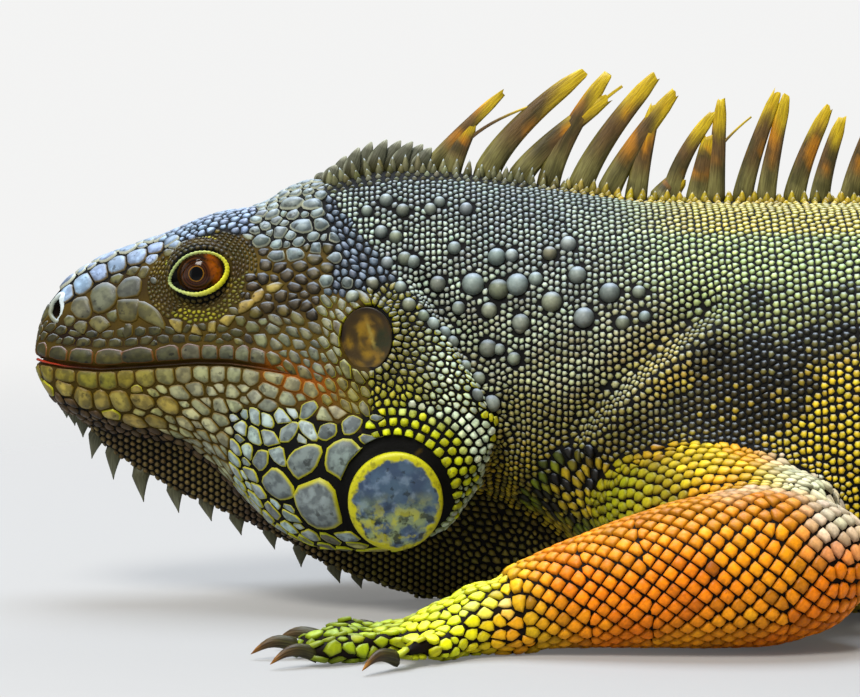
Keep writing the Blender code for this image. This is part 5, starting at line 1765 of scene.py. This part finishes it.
def makeEyes():
    finish = eyeFinish()
    rimLook = scaleFinish("eye rim", rimStrength=0.0, mottle=0.25, mottleSize=1500.0, specks=0.0, frost=0.0)
    rows, count, steps = 26, 48, 120
    for side, sign in sides.items():
        centre, look, long, short = eyeFrame(sign)
        tilt, angle = columns((np.arange(rows) + 0.5) / rows * math.pi * 0.62, around(count))
        ray = look * np.cos(tilt) + (long * np.cos(angle) + short * np.sin(angle)) * np.sin(tilt)
        reach = np.where(tilt < math.pi / 2, np.sin(tilt), 2 - np.sin(tilt))
        a, b = np.cos(angle) * reach + 0.06, np.sin(angle) * reach - 0.02
        eyeball = madePiece(f"eyeball_{side}", centre + ray * (eye["radius"] - 0.9), ringFaces(rows, count),
                            "eye", finish, iris=np.hstack([a, b, np.hypot(a, b)]))
        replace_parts(outwards(eyeball), f"eye_{side}")
        # the yellow rim of the lids: pointed in front, thickest behind and below, with fine notches
        angle = around(steps)
        front = np.maximum(0, -np.cos(angle))
        a = eyeRim["half"][0] * np.cos(angle) * (1 + 0.10 * front ** 5) + 0.2
        b = eyeRim["half"][1] * np.sin(angle) * (1 - 0.18 * front ** 2)
        ahead = np.sqrt((eye["lidRadius"] + 0.15) ** 2 - a * a - b * b)
        ray = look * ahead[:, None] + long * a[:, None] + short * b[:, None]
        notch = np.sin(np.arange(steps) * math.pi / 1.5)[:, None] * eyeRim["notches"]
        thin, gain = eyeRim["thickness"]
        thick = thin + gain * np.maximum(0, np.cos(angle + 0.9))
        radii = np.stack([thick, 0 * angle + eyeRim["rise"]], -1) + notch
        tint = blend(colour("sage"), colour("lemon") * 1.05, 0.35 + 0.65 * np.cos(angle + 0.5))
        piping(f"eye_rim_{side}", "head", rimLook, tint, centre + ray, radii, 10, unit(ray))


nostrilRim = {
    # half length and height, width in front and gain behind, rise and its gain
    "half": (2.1, 3.5),
    "width": (0.55, 0.85),
    "rise": (0.5, 0.45),
}


def makeNostrils():
    look = scaleFinish("nostril rim", rimStrength=0.0, mottle=0.2, specks=0.1, frost=0.5)
    angle = around(40)
    for side, sign in sides.items():
        spot = nostrilPlace(sign)
        out = onSkin([spot])[1][0]
        back = unit(np.array([1.0, 0, 0]) - out * out[0])
        tall = unit(np.cross(out, back))
        tall *= math.copysign(1, tall[2])
        half, (width, wider), (rise, higher) = nostrilRim["half"], nostrilRim["width"], nostrilRim["rise"]
        line = (spot + back * (half[0] * np.cos(angle) + 0.5)[:, None]
                + tall * half[1] * np.sin(angle)[:, None] + out * 0.3)
        radii = np.stack([width + wider * np.maximum(0, np.cos(angle - 0.2)),
                          rise + higher * np.maximum(0, np.cos(angle - 0.3))], -1)
        tint = blend(colour("stone"), colour((0.82, 0.87, 0.88)), 0.5 + 0.5 * np.cos(angle - 0.6))
        piping(f"nostril_rim_{side}", "head", look, tint, 0.4 * line + 0.6 * onSkin(line)[0], radii, 10,
               np.repeat(out[None], len(line), 0))


def makeLips():
    look = scaleFinish("lip line", rimStrength=0.0, mottle=0.4, mottleSize=700.0, specks=0.0, frost=0.0)
    # short steps round the tip of the snout, then back to the corner of the mouth
    xs = np.concatenate([np.linspace(1.0, 12, 16), np.linspace(12.7, 72, 70)])
    zs = between(mouth["line"], xs)
    for side, sign in sides.items():
        line = np.array([(onHead(x, z + 1.5, sign) + onHead(x, z - 1.5, sign)) / 2 for x, z in zip(xs, zs)])
        line[:, 2] = zs - 0.15
        normals = unit(onSkin(line)[1] * (1, 1, 0.2))
        radii = np.stack([0.12 + 0.30 * np.exp(-xs / 5.0), 0.45 * (1 - 0.6 * ease(50, 70, xs))], -1)
        tint = blend(colour("lipRed") * 0.8, colour("umber") * 0.8, ease(4, 14, xs))
        tint = washed(tint, ("rust", 0.7, ease(44, 56, xs) * ripple(line, 3)))
        piping(f"lip_line_{side}", "jaw", look, tint, line - normals * 0.15, radii, 8, normals, False)


def blotched(name, tones, rim=None, roughness=0.35):
    # a large smooth scale: blotches of several tones, more of them low down, and a ragged rim
    made, tree, shader = material(name, roughness)
    where = objectPlace(tree)
    spot = partsOf(tree, attributeOf(tree, "spot", "Vector"))
    look, low = attributeOf(tree, "tint"), ranged(tree, spot["Y"], 0.35, -0.45)
    for number, (tone, lowest, highest, size, strength, fade) in enumerate(tones):
        shifted = maths(tree, "ADD", where, (0.31 * number, 0.17 * number, 0.53 * number), kind="VectorMath")
        share = ranged(tree, noise(tree, shifted, size, 6.0), lowest, highest, 0.0, strength)
        look = mixed(tree, product(tree, share, low) if fade else share, look, toned(tone))
    if rim:
        edge = maths(tree, "MULTIPLY_ADD", noise(tree, where, 330.0), 0.34, spot["Z"])
        look = mixed(tree, ranged(tree, edge, rim[1] + 0.17, rim[2] + 0.17), look, toned(rim[0]))
        worn = ranged(tree, noise(tree, where, 700.0), 0.5, 0.7, 0.0, 0.5)
        look = mixed(tree, product(tree, worn, ranged(tree, spot["Z"], 0.8, 0.9)), look, toned("moss"))
    dress(tree, shader, look, noise(tree, where, 1800.0), 0.25, 0.0002)
    return made


def earTint(spots):
    # golden brown, darker green low behind, with a pale streak before it and painted shade towards the rim
    a, b, _ = spots.T
    tint = blend(colour((0.52, 0.40, 0.06)), colour((0.24, 0.18, 0.04)), cloudy(0.2, 0.8, spots, 0.2, 1))
    dark = ease(0.62, 0.30, np.hypot((a - 0.62) / 0.8, (b + 0.18) / 1.1))
    streak = ease(0.10, 0.03, np.abs(a - 0.18 + 0.35 * b)) * ease(0.6, 0.2, np.abs(b - 0.1))
    # painted shade: darker umber towards the rim, where the membrane lies sunk in its hollow
    return washed(tint, ("umber", 0.4, 0.9 * ease(0.66, 1.0, np.hypot(a, b + 0.12))),
                  ((0.13, 0.15, 0.05), dark), ("tan", 0.7 * streak))


def makeShieldsAndEars():
    shieldLook = blotched("jowl shield",
                          [("ink", 0.40, 0.62, 190.0, 0.7, False), ("sky", 0.50, 0.68, 330.0, 0.5, False),
                           ("sage", 0.42, 0.60, 240.0, 0.75, True), ("soot", 0.48, 0.60, 420.0, 0.8, True),
                           ("lemon", 0.50, 0.62, 380.0, 0.6, True), ("soot", 0.60, 0.70, 600.0, 0.6, False)],
                          rim=("lemon", 0.85, 0.91), roughness=0.42)
    earLook = blotched("ear membrane", [((0.22, 0.16, 0.03), 0.46, 0.64, 260.0, 0.7, False),
                                        ((0.58, 0.44, 0.12), 0.54, 0.68, 190.0, 0.5, False)], roughness=0.45)
    # rings across a domed disc, the last of them its flat back
    rings = (0.02, 0.12, 0.22, 0.32, 0.42, 0.52, 0.62, 0.72, 0.80, 0.86, 0.92, 0.965, 1.0, 1.0)
    share, angle = columns(rings, around(56))
    behind = np.arange(len(share))[:, None] >= (len(rings) - 1) * 56
    for side, sign in sides.items():
        for name, organ, half, standOff, deep, look, node in (
                ("jowl_shield_scale", shield, shield["half"], 1.4, 2.2, shieldLook, "jowl_shield"),
                ("ear_membrane", ear, (6.2, 7.4), 0.2, 1.2, earLook, "ear_drum")):
            centre, out, back, up = organFrame(organ, sign)
            a, b = np.cos(angle) * share * half[0], np.sin(angle) * share * half[1]
            if organ is ear:
                b = b - 0.8 * share * np.maximum(0, -np.sin(angle)) ** 6 * ~behind
                height = -0.9 * (1 - share ** 2) + 0.15 * np.sin(5 * angle) * share * (1 - share)
            else:
                height = 1.5 * (1 - share ** 4) - 0.9 + 0.25 * ((share > 0.85) & (share < 0.97))
            points = centre + out * standOff + back * a + up * b + out * np.where(behind, -deep, height)
            spots = np.hstack([a / half[0], b / half[1], share])
            tint = earTint(spots) if organ is ear else np.tile(colour((0.29, 0.38, 0.48)), (len(spots), 1))
            obj = madePiece(f"{name}_{side}", points, ringFaces(len(rings), 56),
                            "ear" if organ is ear else "shield", look, spot=spots, tint=tint)
            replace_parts(outwards(obj), f"{node}_{side}")


# crest
crest = {
    # the tall blades: place of the base, how far the tip reaches back, height, width, bend
    "tall": [(98.3, 17.8, 20.0, 3.8, 1.15), (103.5, 4.2, 13.2, 5.6, 1.2), (112.6, 21.0, 29.0, 6.2, 1.45),
             (120.6, 18.9, 23.5, 5.8, 1.3), (128.1, 10.9, 29.2, 5.4, 1.5), (136.0, 14.8, 31.2, 6.0, 1.4),
             (143.0, 12.2, 27.5, 5.6, 1.3), (150.0, 3.0, 23.5, 5.2, 1.4), (156.8, 4.5, 6.0, 6.8, 1.2),
             (158.8, 10.0, 21.5, 4.6, 1.7), (165.2, 3.0, 16.5, 5.2, 1.2), (169.8, 1.0, 25.0, 4.6, 1.2),
             (176.5, 8.5, 27.0, 4.8, 1.3), (182.4, 5.0, 26.5, 4.6, 1.3), (189.4, 8.2, 23.0, 5.2, 1.4),
             (195.8, 5.5, 20.5, 4.8, 1.4)],
    "strands": [(104.0, 19.5, 20.0, 1.3), (129.0, 14.0, 27.0, 1.8), (166.0, 12.4, 21.0, 1.2)],
    "backPitch": 7.4,
    "backHeights": (20.0, 7.0),
    "tailPitch": 7.0,
    "tailEnd": 860.0,
    "tailHeights": (6.0, 2.6),
    "nape": [(71.5, 2.6), (73.6, 4.2), (76.0, 5.6), (78.8, 6.8), (81.6, 7.4), (84.4, 7.6), (87.2, 7.4),
             (90.0, 7.2), (92.8, 6.6), (95.4, 5.8)],
}
profiles = {
    # width of each kind of blade along its length
    "tall": lambda t: 1.0 - 0.42 * t ** 0.8 - 0.20 * np.maximum(0, (t - 0.85) / 0.15),
    "strand": lambda t: 1 - 0.6 * t,
    "low": lambda t: np.maximum(0.05, (1 - t) ** 0.75) * 1.05,
    "spike": lambda t: np.maximum(0.04, (1 - t) ** 1.05) + 0.06 * (1 - t),
    "leaf": lambda t: np.maximum(0.10, np.sin(math.pi * (0.30 + 0.68 * t)) ** 0.8),
}


def backLine(x):
    # top of the back at this length
    centre = spineAt(x)[0]
    return cast(skinTree, (centre[0], centre[1], 160), (0, 0, -1), 160)


def standing(x, step=3.0):
    # base on the back's line, the way it runs there and the way up
    base, ahead = backLine(x), backLine(x + step)
    forward = unit(ahead - base)
    return base, forward, unit(upward - forward * forward[2])


def blade(base, forward, up, width, reach, height, rows, profile, bend=1.35, thick=0.30, fray=0.0, number=0):
    # one flat blade with a lens section, bent back, closed at its root and tip
    sideways = unit(np.cross(forward, up))
    t, angle = columns(np.arange(rows) / (rows - 1), around(8))
    middle = base + forward * reach * t ** bend + up * (height * t - 1.5 * (t == 0))
    axis = unit(forward * (reach * bend * np.maximum(t, 0.05) ** (bend - 1)) + up * height)
    wideAxis = unit(np.cross(sideways, axis))
    wideAxis *= np.where(wideAxis @ forward > 0, 1, -1)[:, None]
    half, a = width / 2 * profiles[profile](t), np.cos(angle)
    flat = np.maximum(half * thick * (1 - 0.55 * t), 0.12)
    frayed = fray * (t > 0.8) * (np.sin(7 * a + 2.3 * number) + 0.6 * np.sin(17 * a + number))
    points = middle + wideAxis * half * a + sideways * flat * np.sin(angle) + axis * frayed * (t - 0.8) / 0.2
    return points, ringFaces(rows, 8), t[:, 0], (a * half)[:, 0]


def bladeTint(length, across, number, kind):
    if kind == "tall":
        spot = np.stack([length * 9 + number * 3.1, across * 0.9 + number, number + 0 * length], -1)
        tint = blend(colour("sand"), colour("brown") * 1.5, ease(0.15, 0.45, length))
        return washed(tint, ("moss", 0.75 * cloudy(0.45, 0.75, spot, 1.0) * ease(0.95, 0.6, length)),
                      ("amber", 0.9, 0.6 * cloudy(0.60, 0.80, spot, 1.3, 2) * ease(0.25, 0.5, length)),
                      ("gold", 0.95, 0.9 * ease(0.62, 0.88, length + 0.08 * np.sin(number * 3 + across))),
                      ("olive", 0.6 * ease(0.75, 1.0, np.abs(across) / 2.8)))
    if kind == "nape":
        tint = blend(colour("moss") * 0.8, colour("stone") * 0.6, ease(0.1, 0.7, length))
        return washed(tint, ("cream", 0.6, ease(0.75, 1.0, np.maximum(length, np.abs(across) / 2.3))))
    if kind == "dewlap":
        return blend(colour("stone") * 0.75, colour("moss"), ease(0.3, 0.9, 1 - length) * 0.6)
    return washed(colour("moss"), ("brown", ease(0.2, 0.7, length)),
                  ("amber", 0.8, 0.6 * ease(0.7, 1.0, length)))


def bladeRow(name, slot, blades, kind, finish):
    points, faces, tints, grain, roots = [], [], [], [], []
    count, wide = 0, 0.42 / len(blades)
    for number, (made, madeFaces, length, across) in enumerate(blades):
        points.append(made)
        faces += [tuple(i + count for i in face) for face in madeFaces]
        tints.append(bladeTint(length, across, number, kind))
        height = np.linalg.norm(made[-1] - made[0])
        grain.append(np.stack([across + 7.0 * number, length * height * 0.08, 0 * length + number], -1))
        roots.append(np.stack([(number + 0.5) / len(blades) + wide * across / max(np.abs(across).max(), 0.1),
                               0.03 + 0.94 * length], -1))
        count += len(made)
    return outwards(madePiece(name, np.vstack(points), faces, slot, finish, np.vstack(roots),
                              tint=np.vstack(tints), fibre=np.vstack(grain)), weld=False)


def bladeFinish(name, dark=0.6):
    # lengthwise fibres over the blade's own tint
    made, tree, shader = material(name, 0.45)
    fibre = noise(tree, attributeOf(tree, "fibre", "Vector"), 3.2, 5.0)
    look = mixed(tree, ranged(tree, fibre, 0.36, 0.64, 0.0, dark), attributeOf(tree, "tint"),
                 (0.22, 0.16, 0.09, 1), "MULTIPLY")
    dress(tree, shader, look, fibre, 0.5, 0.0003)
    return made


def makeCrest():
    look = bladeFinish("crest horn", 0.45)
    tall = [blade(*standing(x), 1.12 * width, reach, height, 16, "tall", bend, 0.32, 0.7, number)
            for number, (x, reach, height, width, bend) in enumerate(crest["tall"])]
    tall += [blade(*standing(x), width, reach, height, 16, "strand", 2.1, number=4 + number)
             for number, (x, reach, height, width) in enumerate(crest["strands"])]
    bladeRow("crest_tall", "neck", tall, "tall", look)
    back, (first, last), tailRoot = [], crest["backHeights"], spine["tailRoot"]
    for x in np.arange(crest["tall"][-1][0] + crest["backPitch"], tailRoot - 6, crest["backPitch"]):
        share = (x - 200) / (tailRoot - 200)
        height = (first + (last - first) * share) * (1 + 0.10 * math.sin(2.7 * x))
        back.append(blade(*standing(x), 5.4 * (1 - 0.2 * share), 0.32 * height, height, 12, "tall",
                          fray=0.6 * (1 - share), number=len(back)))
    bladeRow("crest_back", "trunk", back, "tall", look)
    low, (first, last) = [], crest["tailHeights"]
    for distance in np.arange(tailRoot + 2, crest["tailEnd"], crest["tailPitch"]):
        share = (distance - tailRoot) / (crest["tailEnd"] - tailRoot)
        height = first * (1 - share) + last * share
        low.append(blade(backLine(distance), spineAt(distance)[1], upward, 5.6 - 1.6 * share, 0.6 * height,
                         height, 6, "low", number=len(low)))
    bladeRow("crest_tail", "tail", low, "low", look)
    leaves = [blade(*standing(x, 2.0), 4.3, 0.62 * height, height, 9, "leaf", 1.2, 0.42, number=k)
              for k, (x, height) in enumerate(crest["nape"])]
    for k, leaf in enumerate(leaves):
        leaf[0][:, 1] += 0.45 * (-1) ** k
    bladeRow("crest_nape", "neck", leaves, "nape", bladeFinish("nape horn", 0.35))


dewlapSpikes = {
    # place along the lower edge and length
    "spikes": [(6.4, 1.8), (7.6, 2.6), (9.4, 3.4), (11.8, 4.8), (15.2, 6.2), (19.4, 7.2), (26.0, 7.2),
               (34.6, 6.4), (42.6, 5.4), (50.2, 5.0), (58.6, 5.0), (66.2, 5.0), (74.6, 4.6), (80.4, 3.6)],
    "width": 4.9,
}


def makeDewlapSpikes():
    made = []
    for k, (x, length) in enumerate(dewlapSpikes["spikes"]):
        before, edge, ahead = (cast(skinTree, (x + shift, 0, -5), (0, 0, 1), 90) for shift in (-2.5, 0, 2.5))
        if before is None or edge is None or ahead is None or edge[2] > 52:
            continue
        forward = unit(ahead - before)
        down = unit((forward[2], 0, -forward[0]))
        made.append(blade(edge - down * 0.5, forward, down,
                          dewlapSpikes["width"] * min(1.0, 0.35 + length / 8),
                          0.62 * length, 0.85 * length, 8, "spike", 1.15, 0.5, number=k))
    bladeRow("dewlap_spikes", "dewlap", made, "dewlap", bladeFinish("dewlap horn", 0.4))


clawHorn = {
    "half": 2.0,  # half width at the root
    "arch": 1.9,
    "sunk": 1.6,  # length that is hidden in the toe
}


def makeClaws():
    look = bladeFinish("claw horn", 0.7)
    rows, section = 9, 10
    t, angle = columns(np.arange(rows) / (rows - 1), around(section))
    half = clawHorn["half"] * (1 - t) ** 0.7 + 0.06
    for limb in (f"{kind}_{side}" for kind in ("hand", "foot") for side in sides):
        made, replaced = [], [f"{limb}_claw_{number}" for number in range(1, 6)]
        for name in replaced:
            points, heart = nodePoints(name)[0], nodePoints(limb)[0].mean(0)
            away = np.linalg.norm((points - heart)[:, :2], axis=1)
            tip = points[np.argmax(away)]
            root = points[away < away.min() + 0.35 * np.ptp(away)].mean(0)
            forward, length = unit(tip - root), np.linalg.norm(tip - root)
            up = unit(upward - forward * forward[2])
            ring = (root - forward * clawHorn["sunk"] * (1 - t) + forward * length * t
                    + up * clawHorn["arch"] * np.sin(math.pi * t)
                    + np.cross(forward, up) * half * 0.75 * np.cos(angle) + up * half * np.sin(angle))
            made.append((ring, ringFaces(rows, section), t[:, 0], (half * np.sin(angle))[:, 0]))
        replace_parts(bladeRow(f"claws_{limb}", "claw", made, "claw", look), *replaced)


studio = {
    "target": (98.75, 0, 63.0),
    "distance": 0.8,
    "elevation": 4.0,  # degrees
    "across": 0.215,  # metres that the frame spans at the target
    "ambient": 0.30,
    "backdrop": (0.90, 0.90, 0.895),
    "exposure": 0.0,
    "floor": 4.0,  # metres from the middle to each edge
    "floorTone": (0.37, 0.365, 0.355),
    "floorThins": (0.35, 1.2),
    # name, place, size, watts and colour of each lamp
    "lamps": [("key", (-0.35, -0.9, 1.2), 0.5, 21, (1.0, 0.97, 0.92)),
              ("sky", (0.0, 0.25, 1.3), 0.8, 22, (0.78, 0.87, 1.0)),
              ("fill", (-1.3, -0.6, 0.35), 1.2, 4, (1.0, 0.97, 0.92)),
              ("back", (0.6, 1.2, 0.9), 1.0, 9, (1.0, 0.98, 0.95))],
}



def lights():
    scene = bpy.context.scene
    target, elevation = Vector(toFrame(studio["target"])), math.radians(studio["elevation"])
    camera = bpy.data.objects.new("camera", bpy.data.cameras.new("camera"))
    camera.location = target + studio["distance"] * Vector((0, -math.cos(elevation), math.sin(elevation)))
    camera.rotation_euler = (math.radians(90) - elevation, 0, 0)
    camera.data.sensor_width = 36
    camera.data.lens = 36 * studio["distance"] / studio["across"]
    camera.data.clip_start = 0.01
    scene.collection.objects.link(camera)
    scene.camera = camera
    for name, place, size, power, tone in studio["lamps"]:
        lamp = bpy.data.objects.new(name, bpy.data.lights.new(name, "AREA"))
        lamp.data.size, lamp.data.energy, lamp.data.color = size, power, tone
        lamp.location = Vector(place) + Vector((target.x, 0, 0))
        lamp.rotation_euler = (target - lamp.location).to_track_quat("-Z", "Y").to_euler()
        scene.collection.objects.link(lamp)
    scene.world = bpy.data.worlds.new("studio")
    scene.world.use_nodes = True
    tree = scene.world.node_tree
    lit = add(tree, "ShaderNodeBackground", {"Color": (0.92, 0.95, 1.0, 1), "Strength": studio["ambient"]})
    seen = add(tree, "ShaderNodeBackground", {"Color": (*studio["backdrop"], 1)})
    both = add(tree, "ShaderNodeMixShader",
               {0: add(tree, "ShaderNodeLightPath", output="Is Camera Ray"), 1: lit, 2: seen})
    tree.links.new(both, tree.nodes["World Output"].inputs["Surface"])
    scene.view_settings.view_transform = "Standard"
    scene.view_settings.look = "None"
    scene.view_settings.exposure = studio["exposure"]
    half = studio["floor"]
    floor = rawObject("floor", [(-half, -half, 0), (half, -half, 0), (half, half, 0),
                                (-half, half, 0)], [(0, 1, 2, 3)])
    # the floor thins out into the backdrop, so that no edge or horizon shows
    pale, tree, shader = material("pale floor", 0.8, gloss=0.1)
    shader["Base Color"].default_value = (*studio["floorTone"], 1)
    length = add(tree, "ShaderNodeVectorMath", {0: objectPlace(tree)}, "Value", operation="LENGTH")
    tree.links.new(ranged(tree, length, *studio["floorThins"], 1.0, 0.0), shader["Alpha"])
    floor.data.materials.append(pale)


for make in (finishSkin, makeEyes, makeNostrils, makeLips, makeShieldsAndEars, makeCrest,
             makeDewlapSpikes, makeClaws):
    make()
print("small pieces:", len(madePieces))
lights()

# the skin set back in the scene's frame, the flesh solids hidden, and every piece attached to the root body
skin.data.vertices.foreach_set("co", toFrame(skinPoints).ravel())
skin.data.update()
skin.data.shade_smooth()
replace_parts(skin, *fleshNodes)
for obj, slot in [(skin, "trunk")] + scalePieces + madePieces:
    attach(obj, "root")
total = 0
for obj in bpy.context.scene.objects:
    if obj.type == "MESH" and not obj.hide_render:
        obj.data.calc_loop_triangles()
        total += len(obj.data.loop_triangles)
print("triangles in all:", total)
